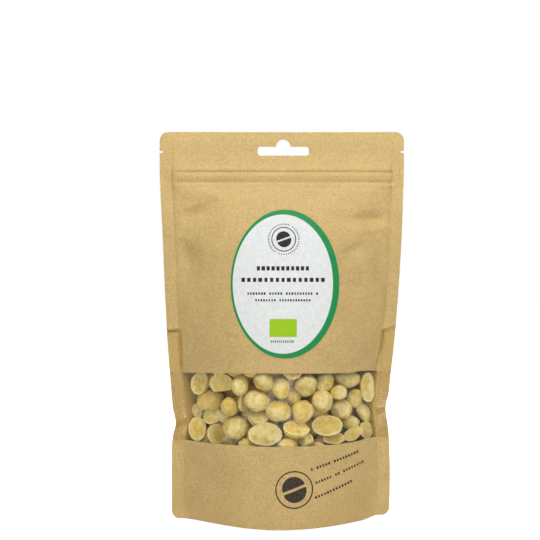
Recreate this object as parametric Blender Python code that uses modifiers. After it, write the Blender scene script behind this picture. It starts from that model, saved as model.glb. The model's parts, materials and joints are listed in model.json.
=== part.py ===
"""A stand-up pouch of kraft paper with a clear window, filled with shelled macadamia nuts.

The pouch is two printed-paper sheets sealed along their sides and top, with a folded gusset as its floor.
The front sheet is paper above and below a full-width strip of clear film, through which the nuts show.
Metres, +Z up, front towards -Y. The origin is on the surface it stands on, below the middle of the base.
"""

import functools
import math

import bmesh
import bpy
import numpy as np
from mathutils import Matrix, Vector
from mathutils.bvhtree import BVHTree

MM = 0.001

# The flat pouch
FLAT_WIDTH = 160 * MM
HEIGHT = 253.5 * MM  # as it stands, which is less than the flat sheet's length
SIDE_SEAL = 8 * MM
CORNER_RADIUS = 5.8 * MM
FOOT = 0.4 * MM  # how far the two sheets' lower edges clear the table
WINDOW_BOTTOM = 53.5 * MM
WINDOW_TOP = 95.5 * MM
FILM_OVERLAP = 8 * MM  # how far the window's film runs behind the paper

# Sheet thicknesses, and how far each sheet's middle lies outside the seam between front and back
PAPER = 0.30 * MM
FILM = 0.20 * MM
LABEL_STOCK = 0.20 * MM
BACK_LIFT = 0.30 * MM
FILM_LIFT = 0.25 * MM
FRONT_LIFT = 0.80 * MM
LABEL_LIFT = 1.35 * MM
GAP = 0.30 * MM

# The outline of the filled pouch: (height, half width) on each side, in millimetres
LEFT_EDGE = (
    (0, 72.0), (47, 72.1), (55, 71.3), (62.7, 69.5), (72, 71.4), (90, 73.0), (120, 75.2),
    (152, 76.7), (188, 78.2), (210, 79.3), (232, 80.0), (253.5, 80.0),
)
RIGHT_EDGE = (
    (0, 70.3), (30, 70.9), (56, 70.2), (66, 68.9), (73, 68.2), (82, 70.2), (95, 71.6),
    (120, 74.2), (152, 76.7), (188, 78.7), (205, 79.3), (232, 80.0), (253.5, 80.0),
)
# (height, how far the front or the back stands out at its middle), in millimetres
DEPTH = (
    (0, 29.5), (30, 30.4), (62, 31.0), (80, 30.2), (98, 28.4), (125, 25.2), (150, 21.0),
    (175, 16.8), (195, 12.0), (208, 7.4), (214, 4.6), (218, 2.4), (223, 2.2), (228, 2.2),
    (234, 0.8), (240, 0.0), (253.5, 0.0),
)
# (height, how much higher a line across the sheet stands at its middle than at its seals), in millimetres
BOW = ((0, 0.0), (20, 0.0), (53, 0.2), (95, 2.5), (150, 1.8), (210, 0.3), (230, 0.0), (253.5, 0.0))
# (height, how boxy the section is): 2 is a parabola, more is flatter in front and steeper beside the seals
FULLNESS = (
    (0, 2.0), (40, 2.2), (180, 2.2), (200, 2.6), (208, 3.8), (212, 6.5), (215, 12.0), (218, 30.0), (253.5, 30.0),
)
# (height, how far the section draws in beside the seals): 1 not at all, more gives flatter corners
DRAW_IN = ((0, 1.4), (25, 1.2), (48, 1.18), (62, 1.22), (88, 1.2), (105, 1.08), (130, 1.0), (253.5, 1.0))

# Mesh fineness
ACROSS = 20  # columns between the side seals
ROW = 9 * MM

# Hang slot, tear notches and closure
SLOT_CENTRE = 1.0 * MM
SLOT_WIDTH = 33.6 * MM
SLOT_BOTTOM = 238.0 * MM
SLOT_TOP = 243.9 * MM
SLOT_HUMP_RADIUS = 4.7 * MM
SLOT_CORNER = 1.7 * MM
NOTCH_HEIGHT = 240.3 * MM
NOTCH_DEPTH = 2.3 * MM
NOTCH_WIDTH = 1.6 * MM
ZIP_HEIGHT = 223.0 * MM
ZIP_LENGTH = 133 * MM
ZIP_TAPE = 10.0 * MM
ZIP_TAPE_THICKNESS = 0.25 * MM
ZIP_REACH = 1.75 * MM  # from the seam to a tape's outer face
ZIP_RIB = 1.0 * MM

# Label
LABEL_WIDTH = 69 * MM
LABEL_HEIGHT = 94.2 * MM
LABEL_X = 1.9 * MM
LABEL_Z = 154.6 * MM
LABEL_RINGS = 7
LABEL_SPOKES = 40

# Gusset
GUSSET_REACH = 0.80  # how far out between the side seals the opened floor reaches
GUSSET_FLAT = 0.50  # how much of that the nuts press flat onto the table
GUSSET_RIDGE = 33 * MM  # the fold's height where it meets the sides
GUSSET_CLEARANCE = 0.75 * MM

# The packed nuts that the window doesn't show: in front they fill the foot, higher up they lie behind
HEAP_BOTTOM = 4 * MM
HEAP_TOP = 110 * MM
HEAP_FRONT = ((0, -60), (38, -60), (43, 9.0), (120, 9.0))  # (height, y of the front), in millimetres
HEAP_REACH = ((0, 420), (30, 580), (44, 640), (120, 560))  # (height, thousandths of the way to the seals)
HEAP_INSET = 2.5 * MM
HEAP_LUMP = 2.2 * MM

NUT_CLEARANCE = 0.5 * MM
NUT_SWELL = 1.03
NUT_STEP = 0.25 * MM

# The nuts at the window, those against the film first, in millimetres and degrees:
# kind, x, height, width, height of the piece, thickness, pan, tilt, roll
# Pan and tilt turn a half's cut face away from the viewer, and roll turns the piece as seen.
NUTS = (
    ("half", -10.8, 59.4, 20.6, 13.8, 8.4, 2, 6, 0),
    ("half", 28.5, 63.1, 18.8, 12.2, 8.0, 4, 8, -3),
    ("whole", -29.8, 61.6, 15.8, 15.4, 13.6, 10, 50, 0),
    ("whole", -2.2, 73.8, 14.6, 15.2, 13.8, 0, -70, 8),
    ("whole", -15.9, 79.8, 15.2, 14.6, 13.4, 20, 70, -10),
    ("whole", 12.6, 73.1, 14.2, 15.2, 13.0, -40, 60, 4),
    ("whole", -46.7, 77.8, 16.0, 12.8, 12.0, 0, 30, 15),
    ("half", -52.3, 89.4, 12.0, 14.8, 6.2, -32, 5, -20),
    ("half", -38.3, 89.7, 14.2, 12.4, 6.6, -8, 4, -30),
    ("half", 6.3, 99.2, 12.0, 10.6, 5.2, 0, 16, 0),
    ("whole", 15.1, 89.6, 13.0, 15.6, 12.6, 15, -50, 10),
    ("whole", -0.6, 88.6, 10.2, 15.0, 10.4, -20, 40, 12),
    ("half", 54.9, 86.4, 11.2, 18.0, 5.0, 38, 0, 6),
    ("whole", 36.3, 84.6, 9.8, 9.2, 9.2, 0, 60, 20),
    ("whole", 42.8, 92.6, 15.6, 10.8, 9.4, 0, 20, 0),
    ("whole", 25.7, 79.3, 13.2, 12.8, 12.2, 30, 40, 0),
    ("whole", 38.2, 72.4, 13.2, 13.2, 12.0, -20, 60, 30),
    ("whole", 47.4, 79.6, 8.8, 13.0, 8.4, 12, -30, 0),
    ("half", -45.0, 67.2, 12.0, 11.4, 4.6, -16, 30, -14),
    ("whole", 53.6, 69.8, 8.8, 12.0, 4.6, 26, 20, 10),
    ("half", -54.4, 59.2, 12.2, 14.8, 4.4, -26, 3, 4),
    ("whole", 3.4, 51.8, 11.6, 9.6, 9.6, 20, 30, 0),
    ("half", 8.5, 61.0, 15.6, 10.8, 7.0, 8, 48, -8),
    ("half", 45.6, 56.2, 13.2, 7.4, 5.2, 14, 20, 26),
    ("whole", -33.7, 75.4, 11.4, 11.0, 10.6, 60, 20, 0),
    ("whole", -26.8, 89.6, 9.8, 12.4, 10.0, 0, 30, 0),
    ("whole", 44.6, 63.6, 10.8, 8.4, 8.6, 0, -10, -14),
    ("half", -43.6, 56.2, 12.0, 12.4, 6.4, 30, 8, 24),
    ("half", 54.2, 58.4, 9.0, 11.0, 4.0, 30, 0, 20),
    ("half", 33.4, 54.2, 13.6, 8.6, 6.0, 4, 30, 8),
    ("whole", 15.2, 54.2, 8.6, 9.6, 8.8, 0, 40, 0),
    ("whole", -11.6, 92.4, 12.0, 12.4, 11.4, -20, -40, 0),
    ("half", -15.0, 67.6, 12.4, 10.4, 6.4, 0, 50, 4),
    ("half", -54.8, 70.6, 7.2, 9.4, 3.6, -32, 0, 14),
    ("half", -25.0, 78.0, 10.0, 12.6, 6.2, 46, 0, -4),
    ("whole", 27.2, 90.8, 11.4, 13.4, 11.6, 30, -30, 0),
    ("whole", 6.8, 82.4, 9.8, 10.8, 9.6, 0, 20, 20),
    ("whole", 23.4, 70.8, 10.4, 9.6, 9.4, 0, -30, 30),
    ("whole", -32.4, 51.6, 12.0, 11.2, 11.2, 0, 45, 0),
    ("whole", -21.6, 50.6, 11.2, 10.8, 10.6, 0, 15, 0),
    ("whole", -49.6, 50.8, 10.4, 9.8, 9.2, 0, 10, 0),
    ("whole", -20.8, 70.4, 9.4, 9.2, 7.4, 0, 10, 0),
    ("whole", 23.4, 48.6, 8.6, 9.0, 7.6, 0, 25, 0),
    ("whole", 20.6, 61.4, 10.6, 11.0, 9.4, 0, -25, 0),
    ("whole", -36.6, 67.6, 8.6, 8.4, 6.8, 0, 15, 0),
    ("whole", -6.4, 97.4, 11.4, 11.8, 11.2, 0, 5, 0),
    ("whole", 35.6, 98.4, 12.0, 11.6, 11.2, 0, 75, 0),
    ("whole", 38.6, 65.0, 8.6, 8.2, 6.8, 0, 15, 0),
)

# Colour, roughness and opacity of each material
KRAFT = ("kraft_paper", (0.560, 0.395, 0.190), 0.80, 1.0)
CLEAR = ("clear_film", (0.90, 0.92, 0.93), 0.12, 0.20)
STICKER = ("label_paper", (0.80, 0.81, 0.80), 0.60, 1.0)
ZIP = ("zip_plastic", (0.86, 0.87, 0.86), 0.35, 1.0)
NUT_SKIN = ("macadamia_kernel", (0.640, 0.470, 0.185), 0.42, 1.0)


def clear_scene():
    for obj in list(bpy.data.objects):
        bpy.data.objects.remove(obj, do_unlink=True)


def collection(name):
    made = bpy.data.collections.new(name)
    bpy.context.scene.collection.children.link(made)
    return made


def material(name, colour, roughness, opacity):
    made = bpy.data.materials.new(name)
    made.use_nodes = True
    shader = made.node_tree.nodes["Principled BSDF"]
    shader.inputs["Base Color"].default_value = (*colour, 1.0)
    shader.inputs["Roughness"].default_value = roughness
    shader.inputs["Metallic"].default_value = 0.0
    shader.inputs["Alpha"].default_value = opacity
    return made


@functools.cache
def eased(stations):
    """The stations' heights, values and slopes, the slopes small enough that the curve never overshoots."""
    heights, values = np.array(stations, float).T
    rates = np.diff(values) / np.diff(heights)
    product, total = rates[:-1] * rates[1:], rates[:-1] + rates[1:]
    between = np.divide(2 * product, total, out=np.zeros_like(total), where=product > 0)
    return heights, values, np.array([rates[0], *between, rates[-1]])


def through(stations, height):
    """The value at a height, in metres, of the smooth curve through stations given in millimetres."""
    heights, values, slopes = eased(stations)
    at = min(max(height / MM, heights[0]), heights[-1])
    i = min(max(int(np.searchsorted(heights, at)) - 1, 0), len(heights) - 2)
    span = heights[i + 1] - heights[i]
    t = (at - heights[i]) / span
    near = (2 * t**3 - 3 * t**2 + 1) * values[i] + (t**3 - 2 * t**2 + t) * span * slopes[i]
    far = (3 * t**2 - 2 * t**3) * values[i + 1] + (t**3 - t**2) * span * slopes[i + 1]
    return (near + far) * MM


def ease(t):
    t = min(max(t, 0.0), 1.0)
    return t * t * (3 - 2 * t)


def bulge(s, height):
    """How far the sheet stands out from the seam, s running from -1 at the left seal to 1 at the right."""
    share = 1 - min(abs(s), 1.0) ** (through(FULLNESS, height) / MM)
    return max(through(DEPTH, height), 0.0) * share ** (through(DRAW_IN, height) / MM)


def sides(height):
    """x of the inner edges of the left and the right side seal."""
    return SIDE_SEAL - through(LEFT_EDGE, height), through(RIGHT_EDGE, height) - SIDE_SEAL


def corner_inset(height):
    """How far the rounded corners draw the outline in."""
    past = max(height - (HEIGHT - CORNER_RADIUS), CORNER_RADIUS - height, 0.0)
    return CORNER_RADIUS - math.sqrt(max(CORNER_RADIUS**2 - past**2, 0.0))


def on_skin(across, height, side):
    """A point of the sheet, across counting from its middle line; side is -1 in front, 1 at the back."""
    inner = FLAT_WIDTH / 2 - SIDE_SEAL
    s = min(max(across / inner, -1.0), 1.0)
    left, right = sides(height)
    x = (left + right) / 2 + s * (right - left) / 2
    seal = (abs(across) - inner) / SIDE_SEAL
    if seal > 0:
        x += math.copysign(seal * (SIDE_SEAL - corner_inset(height)), across)
    bow = through(BOW, height) * (1 - s * s)
    return Vector((x, side * bulge(s, height), height + bow))


def outward(across, height, side):
    """The sheet's normal there, pointing out of the pouch."""
    reach = 0.5 * MM
    inner = FLAT_WIDTH / 2 - 0.01 * MM
    a = min(max(across, -inner + reach), inner - reach)
    h = min(max(height, CORNER_RADIUS + reach), HEIGHT - CORNER_RADIUS - reach)
    along = on_skin(a + reach, h, side) - on_skin(a - reach, h, side)
    up = on_skin(a, h + reach, side) - on_skin(a, h - reach, side)
    normal = along.cross(up)
    return normal.normalized() * (1 if normal.y * side > 0 else -1)


def lifted(across, height, side, lift):
    return on_skin(across, height, side) + outward(across, height, side) * lift


def columns():
    """Stations across the flat sheet, closer together beside the seals, where it bends most."""
    inner = FLAT_WIDTH / 2 - SIDE_SEAL
    steps = np.linspace(-1, 1, ACROSS + 1)
    between = [inner * 0.5 * (t + math.sin(math.pi * t / 2)) for t in steps]
    return [-FLAT_WIDTH / 2, *between, FLAT_WIDTH / 2]


def rows(low, high):
    """Heights of a sheet's rows, with closer ones at the rounded corners and along the closure."""
    count = max(2, round((high - low) / ROW))
    found = list(np.linspace(low, high, count + 1))
    if high > HEIGHT - MM:
        closure = [h * MM for h in (209, 214, 218, 223, 228, 231, 234, 240)]
        corner = [HEIGHT - CORNER_RADIUS * (1 - math.sin(a)) for a in np.radians((0, 30, 60))]
        found = [h for h in found if h < 205 * MM] + closure + corner + [HEIGHT]
    if low < MM:
        corner = [CORNER_RADIUS * (1 - math.sin(a)) for a in np.radians((60, 30, 0))]
        found = [low, *corner] + [h for h in found if h > CORNER_RADIUS + 2 * MM]
    return found


def add(name, mesh, into, finish):
    obj = bpy.data.objects.new(name, mesh)
    into.objects.link(obj)
    if finish:
        mesh.materials.append(finish)
    return obj


def grid_mesh(name, across_cells, up_cells, place):
    """A grid of quads whose corner (column, row) lies at place(column, row)."""
    bm = bmesh.new()
    bmesh.ops.create_grid(bm, x_segments=across_cells, y_segments=up_cells, size=1.0)
    for vert in bm.verts:
        column = round((vert.co.x + 1) / 2 * across_cells)
        row = round((vert.co.y + 1) / 2 * up_cells)
        vert.co = place(column, row)
    mesh = bpy.data.meshes.new(name)
    bm.to_mesh(mesh)
    bm.free()
    return mesh


def face_towards(mesh, direction):
    """Turns an open surface's faces to look along direction."""
    total = sum((p.normal * p.area for p in mesh.polygons), Vector())
    if total.dot(Vector(direction)) < 0:
        mesh.flip_normals()


def solidify(obj, thickness):
    modifier = obj.modifiers.new("Thickness", "SOLIDIFY")
    modifier.thickness = thickness
    modifier.offset = 0.0
    modifier.use_even_offset = True


def sheet(name, low, high, side, lift, thickness, into, finish):
    """A sheet of the pouch from one height to another."""
    stations, heights = columns(), rows(low, high)
    mesh = grid_mesh(
        name,
        len(stations) - 1,
        len(heights) - 1,
        lambda column, row: lifted(stations[column], heights[row], side, lift),
    )
    face_towards(mesh, (0, side, 0))
    obj = add(name, mesh, into, finish)
    solidify(obj, thickness)
    mesh.shade_smooth()
    return obj


def cut(obj, cutter):
    modifier = obj.modifiers.new("Cut " + cutter.name, "BOOLEAN")
    modifier.operation = "DIFFERENCE"
    modifier.solver = "EXACT"
    modifier.object = cutter


def cutter_object(name, bm, into):
    mesh = bpy.data.meshes.new(name)
    bm.to_mesh(mesh)
    bm.free()
    obj = add(name, mesh, into, None)
    obj.hide_render = True
    obj.display_type = "WIRE"
    return obj


def slot_cutters(into):
    """The hang slot: a bar with a round hump over its middle."""
    depth = 8 * MM
    bar = bmesh.new()
    bmesh.ops.create_cube(bar, size=1.0)
    bmesh.ops.scale(bar, vec=(SLOT_WIDTH, depth, SLOT_TOP - SLOT_BOTTOM), verts=bar.verts)
    upright = [e for e in bar.edges if abs((e.verts[0].co - e.verts[1].co).y) > depth / 2]
    bmesh.ops.bevel(bar, geom=upright, offset=SLOT_CORNER, segments=3, profile=0.5, affect="EDGES")
    middle = Vector((SLOT_CENTRE, 0, (SLOT_TOP + SLOT_BOTTOM) / 2))
    bmesh.ops.translate(bar, vec=middle, verts=bar.verts)
    hump = bmesh.new()
    bmesh.ops.create_cone(
        hump, cap_ends=True, segments=20, radius1=SLOT_HUMP_RADIUS, radius2=SLOT_HUMP_RADIUS, depth=depth
    )
    place = Matrix.Translation((SLOT_CENTRE, 0, SLOT_TOP)) @ Matrix.Rotation(math.pi / 2, 4, "X")
    bmesh.ops.transform(hump, matrix=place, verts=hump.verts)
    return [cutter_object("slot_bar", bar, into), cutter_object("slot_hump", hump, into)]


def notch_cutters(into):
    """The tear notches, one at each side: a three-sided prism lying along Y."""
    made = []
    for sign, name in ((-1, "notch_left"), (1, "notch_right")):
        bm = bmesh.new()
        bmesh.ops.create_cone(bm, cap_ends=True, segments=3, radius1=1.0, radius2=1.0, depth=8 * MM)
        squeeze = Matrix.Diagonal((NOTCH_DEPTH / 0.75, NOTCH_WIDTH / 1.732, 1, 1))
        stand = Matrix.Rotation(math.pi / 2, 4, "X")
        turn = Matrix.Rotation(math.pi / 2 * (1 if sign < 0 else -1), 4, "Z")
        place = Matrix.Translation((sign * FLAT_WIDTH / 2, 0, NOTCH_HEIGHT))
        # The cone's first corner is at +Y, so it is turned to point into the sheet before it is squeezed.
        bmesh.ops.transform(bm, matrix=place @ stand @ squeeze @ turn.inverted(), verts=bm.verts)
        bmesh.ops.recalc_face_normals(bm, faces=bm.faces)
        made.append(cutter_object(name, bm, into))
    return made


def zip_strip(name, outline, into, finish):
    """One half of the press-to-close strip: its section, drawn in the YZ plane, run along X."""
    curve = bpy.data.curves.new(name, "CURVE")
    curve.dimensions = "2D"
    curve.fill_mode = "BOTH"
    curve.extrude = ZIP_LENGTH / 2
    spline = curve.splines.new("POLY")
    spline.points.add(len(outline) - 1)
    for point, (y, z) in zip(spline.points, outline):
        point.co = (y, z, 0, 1)
    spline.use_cyclic_u = True
    obj = add(name, curve, into, finish)
    # The drawing's x, y and z become the row's y, z and x.
    axes = Matrix(((0, 0, 1, 0), (1, 0, 0, 0), (0, 1, 0, 0), (0, 0, 0, 1)))
    obj.matrix_world = Matrix.Translation((0, 0, ZIP_HEIGHT)) @ axes
    return obj


def closure(into, finish):
    """The two strips of the closure: a rib in front that presses between two jaws behind."""
    tape, back, face = ZIP_TAPE / 2, ZIP_REACH, ZIP_REACH - ZIP_TAPE_THICKNESS
    rib, tip, jaw = ZIP_RIB / 2, 0.7 * MM, 0.6 * MM
    front = [(-back, -tape), (-face, -tape), (-face, -rib), (tip, -rib), (tip, rib), (-face, rib)]
    front += [(-face, tape), (-back, tape)]
    near, far = rib + GAP, rib + GAP + jaw
    behind = [(back, -tape), (face, -tape), (face, -far), (-tip, -far), (-tip, -near), (face, -near)]
    behind += [(face, near), (-tip, near), (-tip, far), (face, far), (face, tape), (back, tape)]
    zip_strip("zip_rib_strip", front, into, finish)
    zip_strip("zip_jaw_strip", behind, into, finish)


def flat_across(x, height):
    """The station across the flat sheet whose point lies at x."""
    left, right = sides(height)
    s = (x - (left + right) / 2) / ((right - left) / 2)
    return s * (FLAT_WIDTH / 2 - SIDE_SEAL)


def label(into, finish):
    """The oval label, bent to the front sheet that it is stuck on."""
    bm = bmesh.new()
    rings = []
    for ring in range(1, LABEL_RINGS + 1):
        share = ring / LABEL_RINGS
        made = bmesh.ops.create_circle(bm, segments=LABEL_SPOKES, radius=share)["verts"]
        rings.append(made)
    centre = bm.verts.new((0, 0, 0))
    for inner, outer in zip(rings, rings[1:]):
        for i in range(LABEL_SPOKES):
            j = (i + 1) % LABEL_SPOKES
            bm.faces.new((inner[i], outer[i], outer[j], inner[j]))
    for i in range(LABEL_SPOKES):
        bm.faces.new((centre, rings[0][i], rings[0][(i + 1) % LABEL_SPOKES]))
    for vert in bm.verts:
        x = LABEL_X + vert.co.x * LABEL_WIDTH / 2
        z = LABEL_Z + vert.co.y * LABEL_HEIGHT / 2
        vert.co = lifted(flat_across(x, z), z, -1, LABEL_LIFT)
    mesh = bpy.data.meshes.new("label")
    bm.to_mesh(mesh)
    bm.free()
    face_towards(mesh, (0, -1, 0))
    obj = add("label", mesh, into, finish)
    solidify(obj, LABEL_STOCK)
    mesh.shade_smooth()
    return obj


def gusset(into, finish):
    """The floor: flat on the table in the middle, and folded up between front and back towards the sides."""
    along, over = 18, 8
    inner = FLAT_WIDTH / 2 - SIDE_SEAL

    def place(column, row):
        s = GUSSET_REACH * (2 * column / along - 1)
        w = 2 * row / over - 1
        x = on_skin(s * inner, 0.0, -1).x
        rise = GUSSET_RIDGE * ease((abs(s) - GUSSET_FLAT) / (GUSSET_REACH - GUSSET_FLAT)) * (1 - abs(w))
        half_depth = bulge(s, rise) - GUSSET_CLEARANCE
        return Vector((x, w * half_depth, rise + PAPER / 2))

    mesh = grid_mesh("gusset", along, over, place)
    face_towards(mesh, (0, 0, -1))
    obj = add("gusset", mesh, into, finish)
    solidify(obj, PAPER)
    mesh.shade_smooth()
    return obj


def packed_nuts(into, finish):
    """The nuts that the window doesn't show, joined as one lumpy body that follows the pouch from inside."""
    cells = (16, 4, 14)
    bm = bmesh.new()
    bmesh.ops.create_cube(bm, size=1.0)
    for axis, count in enumerate(cells):
        along = [e for e in bm.edges if abs((e.verts[0].co - e.verts[1].co)[axis]) > 0.5]
        bmesh.ops.subdivide_edges(bm, edges=along, cuts=count - 1, use_grid_fill=True)
    for vert in bm.verts:
        step = [round((vert.co[axis] + 0.5) * cells[axis]) for axis in range(3)]
        height = HEAP_BOTTOM + step[2] / cells[2] * (HEAP_TOP - HEAP_BOTTOM)
        reach = through(HEAP_REACH, height)
        s = 2 * vert.co.x * reach
        behind = bulge(s, height) - HEAP_INSET
        front = max(through(HEAP_FRONT, height), -behind)
        # Every other crossing stands out, as the nuts of a full bag do.
        dip = HEAP_LUMP if step[0] % 2 == 0 or step[2] % 2 == 0 else 0.0
        depth = front + dip + (vert.co.y + 0.5) * (behind - front - 2 * dip)
        vert.co = Vector((on_skin(s * (FLAT_WIDTH / 2 - SIDE_SEAL), height, 1).x, depth, height))
    mesh = bpy.data.meshes.new("packed_nuts")
    bm.to_mesh(mesh)
    bm.free()
    return add("packed_nuts", mesh, into, finish)


def whole_mesh(finish):
    """A whole kernel of radius 1: a ball with a slight point at its top and a flatter foot."""
    bm = bmesh.new()
    bmesh.ops.create_uvsphere(bm, u_segments=10, v_segments=6, radius=1.0)
    for vert in bm.verts:
        up = vert.co.z
        vert.co.z = up * (1.0 if up > 0 else 0.94)
        if up > 0.5:
            vert.co.z += 0.06 * (up - 0.5) / 0.5
    mesh = bpy.data.meshes.new("whole_kernel")
    bm.to_mesh(mesh)
    bm.free()
    mesh.shade_smooth()
    mesh.materials.append(finish)
    return mesh


def half_mesh(finish):
    """Half a kernel: a dome of radius 1 below a flat cut face that looks along +Z."""
    bm = bmesh.new()
    bmesh.ops.create_uvsphere(bm, u_segments=12, v_segments=8, radius=1.0)
    geometry = [*bm.verts, *bm.edges, *bm.faces]
    bmesh.ops.bisect_plane(bm, geom=geometry, plane_co=(0, 0, 0.2), plane_no=(0, 0, 1), clear_outer=True)
    bmesh.ops.holes_fill(bm, edges=[e for e in bm.edges if e.is_boundary])
    bmesh.ops.recalc_face_normals(bm, faces=bm.faces)
    low, high = -1.0, 0.2
    for vert in bm.verts:
        vert.co.z = (vert.co.z - (low + high) / 2) * 2 / (high - low)
    mesh = bpy.data.meshes.new("half_kernel")
    bm.to_mesh(mesh)
    bm.free()
    mesh.shade_smooth()
    mesh.set_sharp_from_angle(angle=math.radians(50))
    mesh.materials.append(finish)
    return mesh


def tree_of(mesh, matrix, swell):
    points = [matrix @ (v.co * swell) for v in mesh.vertices]
    return BVHTree.FromPolygons(points, [p.vertices[:] for p in mesh.polygons])


def film_at(x, z):
    """y of the window film's inner face."""
    left, right = sides(z)
    s = (x - (left + right) / 2) / ((right - left) / 2)
    return -bulge(s, z)


def nuts(into, finish):
    """The nuts at the window, each as near to the film as those before it leave room for."""
    meshes = {"whole": whole_mesh(finish), "half": half_mesh(finish)}
    placed, counts = [], {"whole": 0, "half": 0}
    for kind, x, z, wide, tall, thick, pan, tilt, roll in NUTS:
        facing = Matrix.Rotation(math.pi / 2, 4, "X") @ Matrix.Rotation(math.radians(roll), 4, "Z")
        turn = Matrix.Rotation(math.radians(pan), 4, "Z") @ Matrix.Rotation(math.radians(-tilt), 4, "X")
        size = Matrix.Diagonal((wide / 2 * MM, tall / 2 * MM, thick / 2 * MM, 1))
        shape = Matrix.Translation((x * MM, 0, z * MM)) @ turn @ facing @ size
        mesh = meshes[kind]
        corners = [shape @ v.co for v in mesh.vertices]
        depth = max(film_at(p.x, p.z) - p.y for p in corners) + NUT_CLEARANCE
        while True:
            matrix = Matrix.Translation((0, depth, 0)) @ shape
            tree = tree_of(mesh, matrix, NUT_SWELL)
            if not any(tree.overlap(other) for other in placed):
                break
            depth += NUT_STEP
        placed.append(tree)
        counts[kind] += 1
        obj = bpy.data.objects.new(f"{kind}_nut_{counts[kind]:02d}", mesh)
        obj.matrix_world = matrix
        into.objects.link(obj)


def main():
    clear_scene()
    pouch = collection("nut_pouch")
    cutters = collection("cutters")
    kraft, clear = material(*KRAFT), material(*CLEAR)
    skin = material(*NUT_SKIN)
    sheet("front_paper_lower", FOOT, WINDOW_BOTTOM, -1, FRONT_LIFT, PAPER, pouch, kraft)
    upper = sheet("front_paper_upper", WINDOW_TOP, HEIGHT, -1, FRONT_LIFT, PAPER, pouch, kraft)
    film_low, film_high = WINDOW_BOTTOM - FILM_OVERLAP, WINDOW_TOP + FILM_OVERLAP
    sheet("window_film", film_low, film_high, -1, FILM_LIFT, FILM, pouch, clear)
    back = sheet("back_paper", FOOT, HEIGHT, 1, BACK_LIFT, PAPER, pouch, kraft)
    for cutter in slot_cutters(cutters) + notch_cutters(cutters):
        cut(upper, cutter)
        cut(back, cutter)
    gusset(pouch, kraft)
    closure(pouch, material(*ZIP))
    label(pouch, material(*STICKER))
    packed_nuts(pouch, skin)
    nuts(pouch, skin)


main()
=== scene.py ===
"""A stand-up pouch of kraft paper with a clear window, filled with shelled macadamia kernels.

Lengths inside the shape functions are in millimetres. x runs to the right, heights go up from the table,
and the front looks towards -y.
"""

import json
import math

import bmesh
import bpy
import numpy as np
from bpy.props import FloatProperty, FloatVectorProperty, IntProperty, PointerProperty
from bpy.types import Operator, Panel, PropertyGroup
from mathutils import Matrix, Vector, noise
from mathutils.bvhtree import BVHTree

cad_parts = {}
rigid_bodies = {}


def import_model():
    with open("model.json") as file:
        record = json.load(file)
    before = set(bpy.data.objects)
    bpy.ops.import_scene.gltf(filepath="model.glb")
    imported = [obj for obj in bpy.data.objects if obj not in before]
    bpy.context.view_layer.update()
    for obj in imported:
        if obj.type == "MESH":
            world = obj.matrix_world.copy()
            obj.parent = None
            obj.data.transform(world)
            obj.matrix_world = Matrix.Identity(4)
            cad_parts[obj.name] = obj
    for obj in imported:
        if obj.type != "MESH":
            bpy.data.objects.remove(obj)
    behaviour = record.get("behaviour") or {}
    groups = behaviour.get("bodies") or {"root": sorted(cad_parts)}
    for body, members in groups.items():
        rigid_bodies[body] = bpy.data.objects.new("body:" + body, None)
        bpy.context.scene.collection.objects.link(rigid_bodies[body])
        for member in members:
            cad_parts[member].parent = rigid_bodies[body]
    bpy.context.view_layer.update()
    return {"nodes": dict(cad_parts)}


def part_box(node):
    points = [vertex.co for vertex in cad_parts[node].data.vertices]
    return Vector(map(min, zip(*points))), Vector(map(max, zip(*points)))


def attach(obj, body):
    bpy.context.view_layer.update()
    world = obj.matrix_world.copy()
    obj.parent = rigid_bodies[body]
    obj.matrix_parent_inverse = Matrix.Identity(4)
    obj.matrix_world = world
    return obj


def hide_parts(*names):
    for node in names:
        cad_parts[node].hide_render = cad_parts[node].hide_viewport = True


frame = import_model()

bl_info = {
    "name": "Nut Pouch",
    "version": (1, 0, 0),
    "blender": (4, 5, 0),
    "location": "View3D > Sidebar > Nut Pouch",
    "description": "Makes a windowed kraft stand-up pouch of shelled macadamia kernels",
    "category": "Mesh",
}

MM = 0.001

# The filled pouch's outline: (height, distance of the edge from the middle)
LEFT_EDGE = (
    (0, 72.0), (47, 72.1), (55, 71.3), (62.7, 69.5), (72, 71.4), (90, 73.0), (120, 75.2),
    (152, 76.7), (188, 78.2), (210, 79.3), (232, 80.0), (253.5, 80.0),
)
RIGHT_EDGE = (
    (0, 70.3), (30, 70.9), (56, 70.2), (66, 68.9), (73, 68.2), (82, 70.2), (95, 71.6),
    (120, 74.2), (152, 76.7), (188, 78.7), (205, 79.3), (232, 80.0), (253.5, 80.0),
)
# (height, how far the front or the back stands out at its middle)
DEPTH = (
    (0, 29.5), (30, 30.4), (62, 31.0), (80, 30.2), (98, 28.4), (125, 25.2), (150, 21.0),
    (175, 16.8), (195, 12.0), (208, 7.4), (214, 4.6), (218, 2.4), (223, 2.2), (228, 2.2),
    (234, 0.8), (240, 0.0), (253.5, 0.0),
)
# (height, how much higher a line across the sheet stands at its middle than at its seals)
BOW = ((0, 0.0), (20, 0.0), (53, 0.2), (95, 2.5), (150, 1.8), (210, 0.3), (230, 0.0), (253.5, 0.0))
# (height, how boxy the section is), and below (height, how far it draws in beside the seals)
FULLNESS = (
    (0, 2.0), (40, 2.2), (180, 2.2), (200, 2.6), (208, 3.8), (212, 6.5), (215, 12.0), (218, 30.0),
    (253.5, 30.0),
)
DRAW_IN = ((0, 1.4), (25, 1.2), (48, 1.18), (62, 1.22), (88, 1.2), (105, 1.08), (130, 1.0), (253.5, 1.0))

# Each layer's middle, outside the seam between front and back
BACK_LIFT, FILM_LIFT, FRONT_LIFT, LABEL_LIFT, PRINT_LIFT = 0.17, 0.13, 0.42, 0.76, 0.92
STAMP_LIFT = 0.62
LABEL_THICKNESS, INK_THICKNESS = 0.2, 0.04
# Edges that turn by more degrees than this stay sharp.
SHARP = 60
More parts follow.
